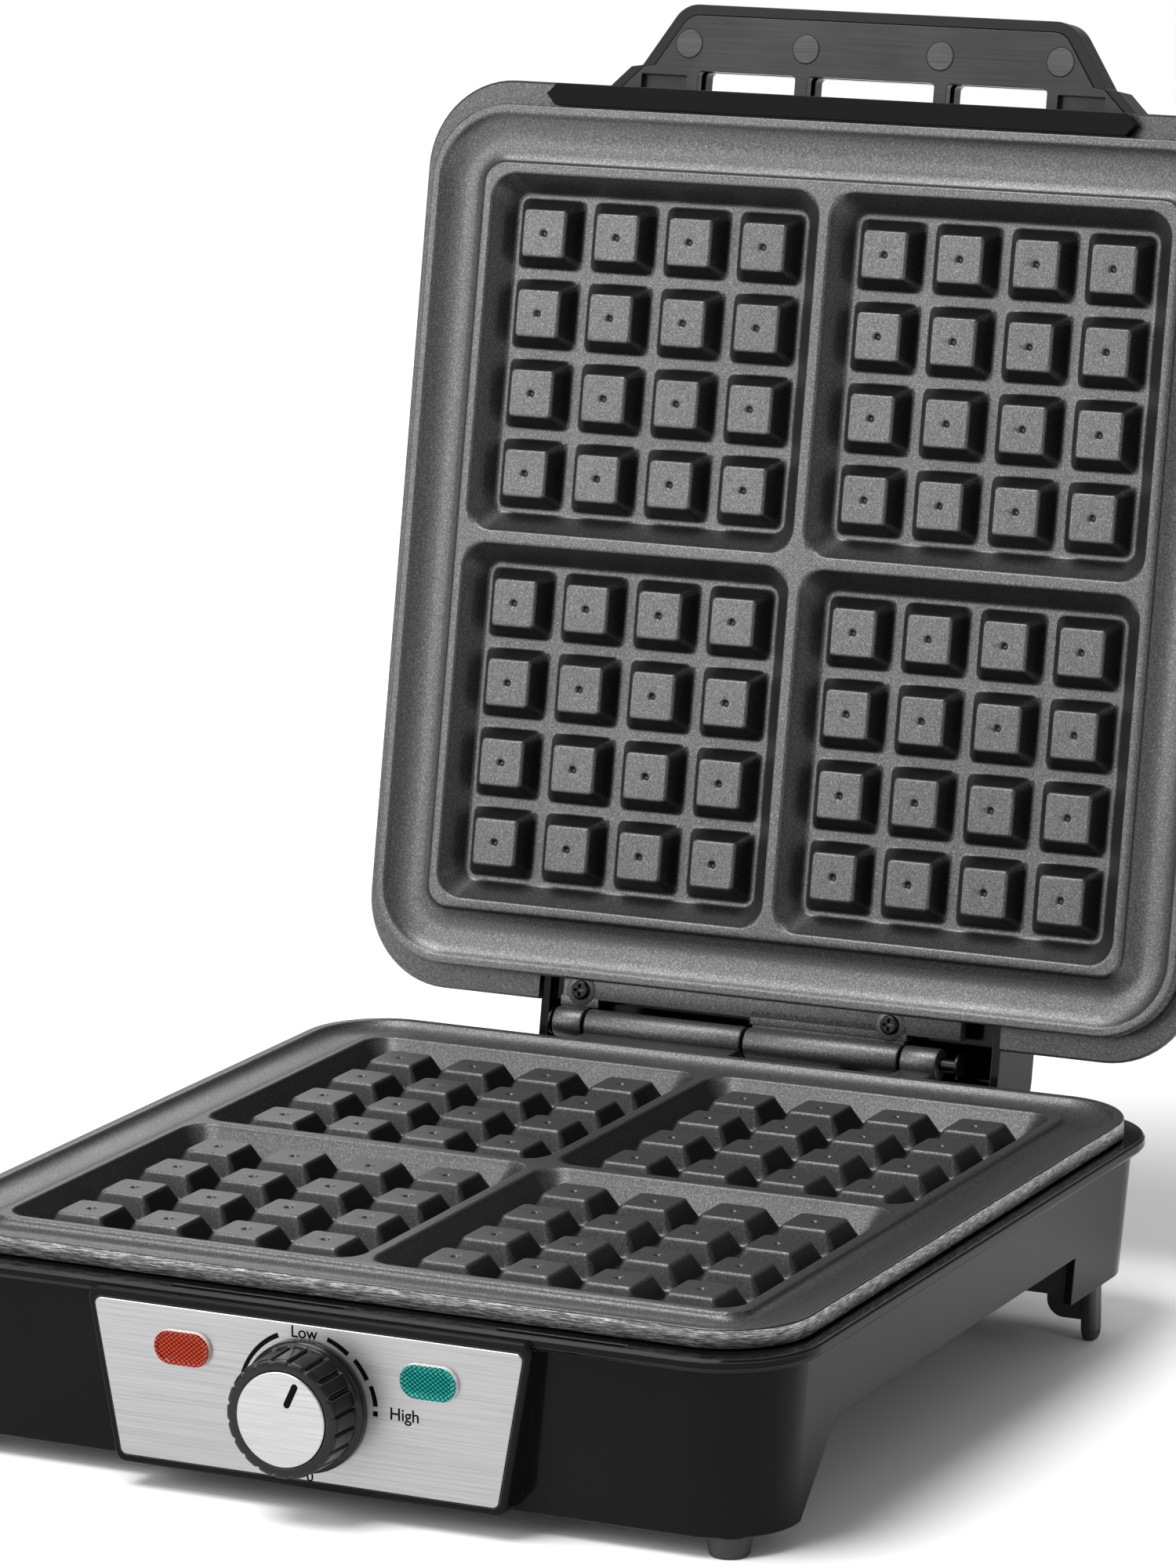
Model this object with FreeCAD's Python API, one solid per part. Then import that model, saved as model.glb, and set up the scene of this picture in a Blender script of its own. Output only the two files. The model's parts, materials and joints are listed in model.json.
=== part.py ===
import FreeCAD, Part
import math
import os

from FreeCAD import Vector

# Waffle maker, millimetres, +Z up, +Y towards the hinge, floor at z = 0.
# Everything is drawn with the base centred on x = y = 0 and the lid closed.
# The exporter then turns the lid open and slides the whole appliance forward,
# so that the origin is under the middle of the open appliance.

# ---------------------------------------------------------------- driving sizes
stud_pitch = 24.0          # spacing of the waffle studs
studs_per_side = 4
well_centre = 55.5         # each of the four wells is centred this far out
plate_half = 129.5
plate_corner = 24.0
rim_height = 62.0          # floor to the lower plate's rim
plate_gap = 0.8            # between the two rims when the lid is closed
body_half_x = 134.0        # lips of the base and the lid
body_half_y = 137.0
body_corner = 27.0
lip_drop = 6.0             # the plates stand this far proud of the lips
lip_thickness = 3.2
open_angle = 101.0
origin_shift = -43.0       # slides the appliance so that its box is centred on y = 0

hinge_y = plate_half + 13.0
hinge_z = rim_height + 1.0
pin_r = 2.0
knuckle_r = 4.7
running_fit = 0.05

# Plate casting, measured down from its own rim plane
ridge_drop = 0.5
trough_half_outer = 126.8
trough_half_inner = 112.4
trough_depth = 3.5
well_depth = 8.0
well_top_half = 53.8
well_toe_half = 47.9
stud_base_half = 10.4
stud_top_half = 6.8
stud_top_drop = 1.5
skirt_depth = 5.6
pan_half = 111.5
pan_depth = 10.8
pillar_length = 8.0
screw_grip = 8.2          # shank length under a plate screw's head
shield_half = 116.0

# Base housing
lip_top = rim_height - lip_drop
wall_top = lip_top - lip_thickness
wall_foot = 6.0
wall_inset_top = 3.5
wall_inset_foot = 7.5
wall_thickness = 2.6
arch_z = 30.0              # underside between the legs
arch_front_y = -88.0
arch_rear_y = 77.0
leg_front_y = -106.0
rear_foot_z = 16.0
cover_sheet = 2.5
cover_raise = 2.0          # the bottom cover is let in above the walls' edges
peg_x, peg_y = 124.4, 99.5
peg_half_x, peg_half_y, peg_tip = 2.3, 3.6, 3.0
front_foot_x, front_foot_y, front_foot_r = 113.5, -121.5, 6.3
cord_x, cord_z, cord_r = -60.0, 31.0, 3.6
terminal_z = 20.6
lead_xs = (-7.0, 7.0)

# Control box on the front wall
bezel_face_y = -139.2
panel_face_y = -139.6
bezel_z = (7.0, 54.6)
bezel_half = (57.5, 66.0)
panel_z = (9.4, 51.8)
panel_half = (55.7, 63.4)
panel_thickness = 0.9
dial_z = 30.0
lamp_x, lamp_z = 36.4, 41.0
lens_half, lens_r = 8.4, 4.8
knob_skirt_r, knob_grip_r, knob_cap_r = 17.9, 16.4, 12.9
knob_length = 14.0
knob_back_y = panel_face_y - 0.5
knob_front_y = panel_face_y - knob_length
shaft_r = 3.0
pointer_angle = 25.0       # clockwise from straight up, as the knob stands
pointer_reach = (4.8, 10.3)

# Lid
lid_rim = rim_height + plate_gap
lid_lip = lid_rim + lip_drop
lid_top = 105.5
cover_foot = lid_lip + lip_thickness + 0.5
hood_half = 74.5
hood_room = 69.6           # half width left free for the hinge
hood_back = 14.0
handle_under_z, handle_top_z = 89.3, 100.2
handle_front_y = -163.9
plug_y, plug_r = -152.0, 4.3
plug_xs = (-60.0, -21.7, 21.7, 60.0)
slot_y = -140.4

# Knuckles along the pin, left to right
upper_knuckles = ((-65.0, -55.4), (-2.6, 47.0))
lower_knuckles = ((-54.6, -3.4), (47.8, 59.4))
hinge_screw_xs = (-58.5, 41.9)
hinge_screw_y = plate_half + 3.1
plate_screws = [(sx * 100.0, sy * 100.0) for sx in (-1, 1) for sy in (-1, 1)]


# ---------------------------------------------------------------- shape helpers
def block(x0, x1, y0, y1, z0, z1):
    return Part.makeBox(x1 - x0, y1 - y0, z1 - z0, Vector(x0, y0, z0))


def rod_x(x0, x1, y, z, r):
    return Part.makeCylinder(r, x1 - x0, Vector(x0, y, z), Vector(1, 0, 0))


def rod_y(x, y0, y1, z, r):
    return Part.makeCylinder(r, y1 - y0, Vector(x, y0, z), Vector(0, 1, 0))


def rod_z(x, y, z0, z1, r):
    return Part.makeCylinder(r, z1 - z0, Vector(x, y, z0), Vector(0, 0, 1))


def rounded_wire(half_x, half_y, r, z, cx=0.0, cy=0.0):
    """Closed rectangle with round corners in the plane at height z."""
    edges = []
    corners = ((1, -1, -90), (1, 1, 0), (-1, 1, 90), (-1, -1, 180))
    last = None
    first = None
    for sx, sy, start in corners:
        centre = Vector(cx + sx * (half_x - r), cy + sy * (half_y - r), z)
        angles = [math.radians(start + turn) for turn in (0, 45, 90)]
        a, b, c = [centre + Vector(r * math.cos(t), r * math.sin(t), 0) for t in angles]
        if last is None:
            first = a
        else:
            edges.append(Part.LineSegment(last, a).toShape())
        edges.append(Part.Arc(a, b, c).toShape())
        last = c
    edges.append(Part.LineSegment(last, first).toShape())
    return Part.Wire(edges)


def rounded_prism(half_x, half_y, r, z0, z1, cx=0.0, cy=0.0):
    face = Part.Face(rounded_wire(half_x, half_y, r, z0, cx, cy))
    return face.extrude(Vector(0, 0, z1 - z0))


def tapered(sections, cx=0.0, cy=0.0, ruled=True):
    """Solid through rounded rectangles, each given as (half_x, half_y, r, z)."""
    wires = [rounded_wire(hx, hy, r, z, cx, cy) for hx, hy, r, z in sections]
    return Part.makeLoft(wires, True, ruled)


def prism_x(points, x0, x1):
    """Polygon of (y, z) points pushed along X."""
    loop = [Vector(x0, y, z) for y, z in points]
    face = Part.Face(Part.makePolygon(loop + [loop[0]]))
    return face.extrude(Vector(x1 - x0, 0, 0))


def prism_y(points, y0, y1):
    """Polygon of (x, z) points pushed along Y."""
    loop = [Vector(x, y0, z) for x, z in points]
    face = Part.Face(Part.makePolygon(loop + [loop[0]]))
    return face.extrude(Vector(0, y1 - y0, 0))


def prism_z(points, z0, z1):
    """Polygon of (x, y) points pushed along Z."""
    loop = [Vector(x, y, z0) for x, y in points]
    face = Part.Face(Part.makePolygon(loop + [loop[0]]))
    return face.extrude(Vector(0, 0, z1 - z0))


def pill_y(cx, cz, half, r, y0, y1):
    """Flat-sided bar with round ends, lying in XZ and pushed along Y."""
    middle = block(cx - half + r, cx + half - r, y0, y1, cz - r, cz + r)
    ends = [rod_y(cx + side * (half - r), y0, y1, cz, r) for side in (-1, 1)]
    return middle.fuse(ends).removeSplitter()


def joined(first, *others):
    return first.fuse(list(others)).removeSplitter()


def turned(shape, centre, axis, angle):
    copy = shape.copy()
    copy.rotate(centre, axis, angle)
    return copy


def lifted(shape, dz):
    copy = shape.copy()
    copy.translate(Vector(0, 0, dz))
    return copy


def stud_positions():
    """Centres of all the studs of one plate."""
    middle = (studs_per_side - 1) / 2.0
    steps = [(i - middle) * stud_pitch for i in range(studs_per_side)]
    line = [side * well_centre + step for side in (-1, 1) for step in steps]
    return [(x, y) for x in line for y in line]


# ---------------------------------------------------------------- cooking plates
def stud(x, y):
    """One raised waffle stud with a dimple in its top."""
    body = tapered([
        (stud_base_half, stud_base_half, 2.2, -well_depth - 0.5),
        (stud_base_half, stud_base_half, 2.2, -well_depth),
        (stud_top_half, stud_top_half, 1.6, -stud_top_drop - 0.4),
        (stud_top_half - 0.4, stud_top_half - 0.4, 1.3, -stud_top_drop),
    ], x, y)
    dimple = Part.makeSphere(1.7, Vector(x, y, -stud_top_drop + 1.1))
    return body.cut(dimple)


def stud_core(x, y):
    """Hollow under a stud, so that the casting keeps an even thickness."""
    top = stud_top_half - 2.4
    base = stud_base_half - 2.8
    return tapered([
        (base, base, 1.5, -pan_depth - 0.1),
        (top, top, 1.0, -stud_top_drop - 2.8),
    ], x, y)


def plate_casting():
    """Cooking plate facing up, with its rim plane at z = 0."""
    rim = rounded_prism(plate_half, plate_half, plate_corner, -skirt_depth, 0)
    pan = rounded_prism(pan_half, pan_half, 14, -pan_depth, -skirt_depth + 0.1)
    plate = joined(rim, pan)
    inner_corner = plate_corner - 2.7
    inside = tapered([
        (trough_half_outer - 0.5, trough_half_outer - 0.5, inner_corner - 0.5, -ridge_drop),
        (trough_half_outer, trough_half_outer, inner_corner, 0.1),
    ])
    outer = tapered([
        (119.6, 119.6, 15.4, -trough_depth),
        (123.2, 123.2, 18.4, -trough_depth + 0.9),
        (125.4, 125.4, 20.2, -trough_depth + 2.1),
        (trough_half_outer - 0.5, trough_half_outer - 0.5, inner_corner - 0.5, -ridge_drop),
    ])
    island = tapered([
        (118.4, 118.4, 14.8, -trough_depth - 0.1),
        (115.2, 115.2, 12.6, -trough_depth + 0.5),
        (113.2, 113.2, 11.2, -trough_depth + 1.3),
        (trough_half_inner, trough_half_inner, 10.6, -trough_depth + 2.0),
        (trough_half_inner, trough_half_inner, 10.6, 0.2),
    ])
    cuts = [inside, outer.cut(island)]
    for sx in (-1, 1):
        for sy in (-1, 1):
            cuts.append(tapered([
                (well_toe_half, well_toe_half, 4.2, -well_depth),
                (well_top_half - 0.5, well_top_half - 0.5, 7.6, -ridge_drop - 0.7),
                (well_top_half, well_top_half, 8.0, -ridge_drop),
                (well_top_half, well_top_half, 8.0, 0.5),
            ], sx * well_centre, sy * well_centre))
    plate = plate.cut(cuts)
    plate = plate.fuse([stud(x, y) for x, y in stud_positions()])
    return plate.cut([stud_core(x, y) for x, y in stud_positions()])


def plate_bosses(screw_hole_r):
    """Screw pillars under a plate facing up."""
    foot = -pan_depth - pillar_length
    pillars = [rod_z(x, y, foot, -pan_depth + 0.5, 4.5) for x, y in plate_screws]
    holes = [rod_z(x, y, foot - 0.1, -pan_depth, screw_hole_r) for x, y in plate_screws]
    return pillars, holes


def knuckle_set(spans, side):
    """Hinge knuckles on one plate: side is +1 on the upper plate and -1 on the lower."""
    pieces = []
    for x0, x1 in spans:
        pieces.append(rod_x(x0, x1, hinge_y, hinge_z, knuckle_r))
        web = sorted((hinge_z + side * 1.3, hinge_z + side * 4.5))
        pieces.append(block(x0, x1, plate_half - 1.0, hinge_y, web[0], web[1]))
    bore = rod_x(-70, 70, hinge_y, hinge_z, pin_r + running_fit)
    return pieces, bore


def lower_cooking_plate():
    plate = lifted(plate_casting(), rim_height)
    pillars, holes = plate_bosses(1.7)
    knuckles, bore = knuckle_set(lower_knuckles, -1)
    rail = block(-63.5, 64.2, plate_half - 3.0, hinge_y - 7.3, lip_top + 0.4, rim_height - 1.5)
    notch = block(59.4, 64.2, hinge_y - 8.0, hinge_y - 2.0, lip_top + 0.4, rim_height - 1.5)
    added = [lifted(p, rim_height) for p in pillars] + knuckles + [rail, notch]
    plate = plate.fuse(added)
    return plate.cut([bore] + [lifted(h, rim_height) for h in holes])


def upper_cooking_plate():
    flip = (Vector(0, 0, 0), Vector(0, 1, 0), 180)
    plate = lifted(turned(plate_casting(), *flip), lid_rim)
    pillars, holes = plate_bosses(1.7)
    knuckles, bore = knuckle_set(upper_knuckles, 1)
    rail_face = lid_rim + 1.5
    rail = block(-63.5, 64.2, plate_half - 3.0, hinge_y - 7.3, rail_face, lid_lip - 0.4)
    tabs = [rod_z(x, hinge_screw_y, rail_face, lid_lip - 0.4, 4.9) for x in hinge_screw_xs]
    screw_holes = [rod_z(x, hinge_screw_y, rail_face - 1, lid_lip, 1.7) for x in hinge_screw_xs]
    added = [lifted(turned(p, *flip), lid_rim) for p in pillars]
    plate = plate.fuse(added + knuckles + [rail] + tabs)
    cuts = [bore] + screw_holes + [lifted(turned(h, *flip), lid_rim) for h in holes]
    return plate.cut(cuts)


def heater_loop(z):
    """Tubular element: one loop with a crossed tail at the rear, under the wells."""
    tube_r = 3.2
    half, corner = 74.0, 30.0
    path = rounded_wire(half, half, corner, z)
    start = Vector(0, -half, z)
    profile = Part.Wire(Part.makeCircle(tube_r, start, Vector(1, 0, 0)))
    loop = path.makePipeShell([profile], True, False)
    gap = block(-9, 9, half - 6, half + 6, z - 6, z + 6)
    tails = []
    for side in (-1, 1):
        tails.append(rod_y(side * 12.2, half - 1.0, half + 24, z, tube_r - 0.3))
    return loop.cut(gap), tails


def heating_element(z):
    loop, tails = heater_loop(z)
    pins = [rod_y(side * 12.2, 98, 106, z, 1.4) for side in (-1, 1)]
    return joined(loop, *(tails + pins))


def reflector(z_floor, up):
    """Pressed heat shield: a shallow tray with its rim turned towards the plate."""
    wall = sorted((z_floor, z_floor + up * 6.0))
    tray = rounded_prism(shield_half, shield_half, 16, wall[0], wall[1])
    hollow_z = sorted((z_floor + up * 0.6, z_floor + up * 6.2))
    inner = shield_half - 0.6
    tray = tray.cut(rounded_prism(inner, inner, 15.4, hollow_z[0], hollow_z[1]))
    holes = [rod_z(x, y, z_floor - 3, z_floor + 3, 5.2) for x, y in plate_screws]
    holes.append(block(-18, 18, 84, 112, z_floor - 3, z_floor + 3))
    return tray.cut(holes)


# ---------------------------------------------------------------- base
def wall_section(inset, corner, z, offset=0.0):
    gap = inset + offset
    return (body_half_x - gap, body_half_y - gap, corner - offset, z)


def base_outline():
    return tapered([
        wall_section(wall_inset_foot, 21, wall_foot),
        wall_section(wall_inset_top, 24, wall_top),
    ])


def base_inside(extra=0.0):
    return tapered([
        wall_section(wall_inset_foot, 21, wall_foot - 0.1, wall_thickness + extra),
        wall_section(wall_inset_top, 24, wall_top, wall_thickness + extra),
    ])


def underside_line(raise_by):
    """Profile (y, z) of the underside, front to back, raised by a distance."""
    slope = 0.6 * raise_by
    return [
        (-130, wall_foot + raise_by),
        (leg_front_y - slope, wall_foot + raise_by),
        (arch_front_y - slope, arch_z + raise_by),
        (arch_rear_y + raise_by, arch_z + raise_by),
        (arch_rear_y + raise_by, rear_foot_z + raise_by),
        (134, rear_foot_z + raise_by),
    ]


def arch_cutter():
    """Everything below the legs' profile, right through the housing."""
    line = underside_line(0.0)[1:-1]
    loop = [(leg_front_y, -1)] + line + [(150, rear_foot_z), (150, -1)]
    return prism_x(loop, -150, 150)


def lower_housing():
    """Outer shell of the base: lip, drafted walls, legs and the lid's two stop ribs."""
    shell = base_outline().cut(base_inside())
    lip = tapered([
        (body_half_x - 0.8, body_half_y - 0.8, body_corner - 0.8, wall_top - 0.4),
        (body_half_x, body_half_y, body_corner, wall_top + 0.6),
        (body_half_x, body_half_y, body_corner, lip_top - 0.7),
        (body_half_x - 0.7, body_half_y - 0.7, body_corner - 0.7, lip_top),
    ])
    lip = lip.cut(rounded_prism(122.5, 122.5, 17, wall_top - 1, lip_top + 1))
    shell = joined(shell, lip)
    ribs = []
    for side in (-1, 1):
        x = side * 30.0
        ribs.append(prism_x([(131, 40), (140, 46), (146.9, 49), (147.9, 54), (131, 54)], x - 4, x + 4))
    shell = shell.fuse(ribs)
    cuts = [arch_cutter(), cord_hole(), block(-52, 52, -134, -124, 13, 48)]
    for x0, x1 in ((-43, 9), (53, 90)):
        cuts.append(block(x0, x1, -135.2, -132.9, lip_top - 1.6, lip_top + 1))
    shell = shell.cut(cuts)
    return shell.fuse(cover_posts() + plate_lugs())


def cover_posts():
    """Pillars that the bottom cover's screws go into, each with a web to the wall."""
    posts = []
    for x, y, z in cover_screws():
        foot = z + cover_raise + cover_sheet + 0.1
        post = rod_z(x, y, foot, wall_top, 4.0)
        if abs(x) > 100:
            web = block(min(x, x * 1.055), max(x, x * 1.055), y - 1.5, y + 1.5, foot, wall_top)
        else:
            web = block(x - 1.5, x + 1.5, y, y + 7.5, foot, wall_top)
        posts.append(joined(post, web).cut(rod_z(x, y, z, z + 15, 1.55)))
    return posts


def plate_lugs():
    """Lugs on the side walls that the lower plate's pillars stand on."""
    top = rim_height - pan_depth - pillar_length - 0.1
    lugs = []
    for x, y in plate_screws:
        side = 1 if x > 0 else -1
        wall_x = side * 127.0
        shelf = block(min(x, wall_x), max(x, wall_x), y - 5.5, y + 5.5, top - 2.0, top)
        eye = rod_z(x, y, top - 2.0, top, 5.5)
        rib = block(min(x + side * 6, wall_x), max(x + side * 6, wall_x), y - 1.2, y + 1.2, 37.0, top)
        lugs.append(joined(shelf, eye, rib).cut(rod_z(x, y, top - 3, top + 1, 1.8)))
    return lugs


def cover_screws():
    """Screw places (x, y, underside z) on the bottom cover."""
    middle = [(side * 121.0, y, arch_z) for side in (-1, 1) for y in (-60.0, 60.0)]
    rear = [(side * 70.0, 122.0, rear_foot_z) for side in (-1, 1)]
    return middle + rear


def bottom_cover():
    """Bent sheet that closes the base from below, with the two rear pegs."""
    low = underside_line(cover_raise)
    high = underside_line(cover_raise + cover_sheet)
    sheet = prism_x(low + high[::-1], -140, 140)
    sheet = sheet.common(base_inside(0.25))
    pegs = []
    sheet_z = rear_foot_z + cover_raise + 0.5
    for side in (-1, 1):
        x = side * peg_x
        pegs.append(rounded_prism(peg_half_x, peg_half_y, 2.0, peg_tip, rear_foot_z - 0.3, x, peg_y))
        neck_x = x - side * 2.2
        pegs.append(rounded_prism(2.0, peg_half_y, 1.5, rear_foot_z - 1.0, sheet_z, neck_x, peg_y))
        corner_x = x - side * 13.0
        inner, outer = sorted((corner_x, x - side * 1.0))
        web = block(inner, outer, peg_y - 1.2, peg_y + 1.2, 5.6, rear_foot_z - 0.3)
        near, far = sorted((corner_x, corner_x + side * 5.0))
        square = block(near, far, peg_y - 2, peg_y + 2, 5.5, 10.6)
        round_part = rod_y(corner_x + side * 5.0, peg_y - 2, peg_y + 2, 10.6, 5.0)
        inner, outer = sorted((corner_x, x - side * 2.2))
        root = block(inner, outer, peg_y - 1.2, peg_y + 1.2, rear_foot_z - 1.0, sheet_z)
        pegs.append(joined(web.cut(square.cut(round_part)), root))
    sheet = sheet.fuse(pegs)
    vents = []
    for row in range(7):
        for side in (-1, 1):
            y = -45 + row * 15
            vents.append(block(side * 45 - 22, side * 45 + 22, y - 1.5, y + 1.5, arch_z, arch_z + 6))
    holes = [rod_z(x, y, z - 1, z + 8, 1.8) for x, y, z in cover_screws()]
    foot_holes = [rod_z(side * front_foot_x, front_foot_y, 6, 12, 2.6) for side in (-1, 1)]
    return sheet.cut(vents + holes + foot_holes)


def bottom_screws():
    screws = []
    for x, y, z in cover_screws():
        head = rod_z(x, y, z + 0.2, z + 2.0, 3.3)
        shank = rod_z(x, y, z + 2.0, z + 13, 1.45)
        drive = block(x - 1.9, x + 1.9, y - 0.4, y + 0.4, z, z + 1.2)
        cross = block(x - 0.4, x + 0.4, y - 1.9, y + 1.9, z, z + 1.2)
        screws.append(joined(head, shank).cut([drive, cross]))
    return Part.makeCompound(screws)


def front_feet():
    """Tapered rubber feet pushed into the bottom cover."""
    feet = []
    for side in (-1, 1):
        x = side * front_foot_x
        base = Vector(x, front_foot_y, 0)
        pad = Part.makeCone(front_foot_r - 1.0, front_foot_r, wall_foot - 0.1, base)
        pad = pad.makeFillet(0.8, [pad.Edges[i] for i in range(len(pad.Edges))
                                   if abs(pad.Edges[i].BoundBox.ZMax) < 0.01])
        stem = rod_z(x, front_foot_y, wall_foot - 0.2, 12.0, 2.5)
        collar = rod_z(x, front_foot_y, 10.6, 12.0, 3.0)
        feet.append(joined(pad, stem, collar))
    return Part.makeCompound(feet)


def rear_feet():
    """Round rubber tips on the rear pegs."""
    tips = []
    for side in (-1, 1):
        tips.append(tapered([
            (peg_half_x - 0.9, peg_half_y - 0.9, 1.2, 0),
            (peg_half_x - 0.3, peg_half_y - 0.3, 1.7, 1.2),
            (peg_half_x, peg_half_y, 2.0, peg_tip),
        ], side * peg_x, peg_y))
    return Part.makeCompound(tips)


def cord_hole():
    return rod_y(cord_x, 118, 140, cord_z, 6.0)


def cord_gland():
    """Bush in the rear wall that the mains lead would pass through."""
    neck = rod_y(cord_x, 126.5, 134.6, cord_z, 5.9)
    outer_flange = rod_y(cord_x, 129.0, 134.6, cord_z, 8.0).cut(base_outline())
    inner_flange = rod_y(cord_x, 126.2, 128.0, cord_z, 7.4)
    return joined(neck, outer_flange, inner_flange).cut(rod_y(cord_x, 120, 140, cord_z, cord_r))


def terminal_xs():
    return [(i - 1.5) * 9.0 for i in range(4)]


def terminal_block():
    base = block(-20, 20, 86, 102, terminal_z, terminal_z + 12)
    wells = [rod_z(x, 96, terminal_z + 5, terminal_z + 13, 2.6) for x in terminal_xs()]
    lead_holes = [rod_y(x, 85, 91, terminal_z + 6.0, 1.4) for x in lead_xs]
    return base.cut(wells + lead_holes)


def terminal_screws():
    screws = []
    for x in terminal_xs():
        head = rod_z(x, 96, terminal_z + 5, terminal_z + 8.5, 2.4)
        slot = block(x - 2.6, x + 2.6, 95.6, 96.4, terminal_z + 7.6, terminal_z + 9)
        screws.append(head.cut(slot))
    return Part.makeCompound(screws)


def bent_tube(points, bend, r):
    """Round tube along a path of straight runs with rounded corners."""
    points = [Vector(*p) for p in points]
    edges = []
    start = points[0]
    for before, corner, after in zip(points, points[1:], points[2:]):
        incoming = (corner - before).normalize()
        outgoing = (after - corner).normalize()
        enter = corner - incoming * bend
        leave = corner + outgoing * bend
        centre = enter + outgoing * bend
        middle = centre + (corner - centre).normalize() * bend
        edges.append(Part.LineSegment(start, enter).toShape())
        edges.append(Part.Arc(enter, middle, leave).toShape())
        start = leave
    edges.append(Part.LineSegment(start, points[-1]).toShape())
    profile = Part.Wire(Part.makeCircle(r, points[0], points[1] - points[0]))
    return Part.Wire(edges).makePipeShell([profile], True, False)


def internal_wiring():
    """Two leads from the thermostat, along under the shield, to the terminal block."""
    leads = []
    for x in lead_xs:
        tab_z = dial_z + 5.0
        end_z = terminal_z + 6.0
        leads.append(bent_tube([
            (x, -100.7, tab_z), (x, -92, tab_z), (x, -92, 41.3),
            (x, 83.5, 41.3), (x, 83.5, end_z), (x, 90, end_z),
        ], 3.0, 1.1))
    return Part.makeCompound(leads)


# ---------------------------------------------------------------- control box
def trapezoid(half_low, half_high, z_low, z_high):
    return [(-half_low, z_low), (half_low, z_low), (half_high, z_high), (-half_high, z_high)]


def softened(solid, radius, test):
    edges = [edge for edge in solid.Edges if test(edge)]
    return solid.makeFillet(radius, edges)


def along_y(edge):
    box = edge.BoundBox
    return box.YLength > 0.3 and box.XLength < 0.05 and box.ZLength < 0.05


def control_bezel():
    """Black surround that stands proud of the front wall and carries the steel panel."""
    low, high = bezel_half
    body = prism_y(trapezoid(low, high, *bezel_z), bezel_face_y, -126.5)
    body = softened(body, 3.0, along_y)
    front = [edge for edge in body.Edges if abs(edge.BoundBox.YMax - bezel_face_y) < 0.01]
    body = body.makeFillet(0.9, front)
    recess = prism_y(trapezoid(panel_half[0] + 0.2, panel_half[1] + 0.2,
                               panel_z[0] - 0.2, panel_z[1] + 0.2),
                     bezel_face_y - 1, panel_face_y + panel_thickness)
    recess = softened(recess, 1.9, along_y)
    cavity = prism_y(trapezoid(low - 4, high - 6, bezel_z[0] + 3, bezel_z[1] - 3), -135.0, -120)
    body = body.cut([recess, cavity, base_inside_wall_cut()])
    openings = [pill_y(side * lamp_x, lamp_z, lens_half - 0.8, lens_r - 0.8, -142, -130) for side in (-1, 1)]
    openings.append(rod_y(0, -142, -130, dial_z, shaft_r + 1.4))
    return body.cut(openings)


def base_inside_wall_cut():
    """The drafted front wall's own volume, so that the surround butts against it."""
    lip = rounded_prism(body_half_x, body_half_y, body_corner, wall_top - 0.4, lip_top)
    return base_outline().fuse(lip)


def control_panel():
    """Brushed steel face plate with a rolled edge."""
    plate = prism_y(trapezoid(panel_half[0], panel_half[1], *panel_z),
                    panel_face_y, panel_face_y + panel_thickness - 0.05)
    plate = softened(plate, 1.8, along_y)
    front = [edge for edge in plate.Edges if abs(edge.BoundBox.YMax - panel_face_y) < 0.01]
    plate = plate.makeFillet(0.35, front)
    holes = [pill_y(side * lamp_x, lamp_z, lens_half - 0.7, lens_r - 0.7, -145, -130) for side in (-1, 1)]
    holes.append(rod_y(0, -145, -130, dial_z, shaft_r + 1.4))
    return plate.cut(holes)


def lamp_lens(side):
    """Pill-shaped lens: a bevelled rim on the panel and a stem through it."""
    x = side * lamp_x
    rim = pill_y(x, lamp_z, lens_half, lens_r, panel_face_y - 1.5, panel_face_y)
    face = [edge for edge in rim.Edges if abs(edge.BoundBox.YMax - (panel_face_y - 1.5)) < 0.01]
    rim = rim.makeFillet(0.7, face)
    stem = pill_y(x, lamp_z, lens_half - 1.0, lens_r - 1.0, panel_face_y - 0.1, -133.6)
    hollow = pill_y(x, lamp_z, lens_half - 2.2, lens_r - 2.2, panel_face_y + 0.3, -133)
    return joined(rim, stem).cut(hollow)


def lamp_holder(side):
    x = side * lamp_x
    body = block(x - 9.5, x + 9.5, -133.4, -122.5, lamp_z - 6.0, lamp_z + 6.0)
    pocket = rod_y(x, -134, -124.5, lamp_z, 3.4)
    return body.cut(pocket)


def lamp_holders():
    return Part.makeCompound([lamp_holder(side) for side in (-1, 1)])


def neon_lamp(side):
    x = side * lamp_x
    glass = rod_y(x, -136.0, -125.0, lamp_z, 2.2)
    nose = Part.makeSphere(2.2, Vector(x, -136.0, lamp_z))
    return joined(glass, nose)


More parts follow.
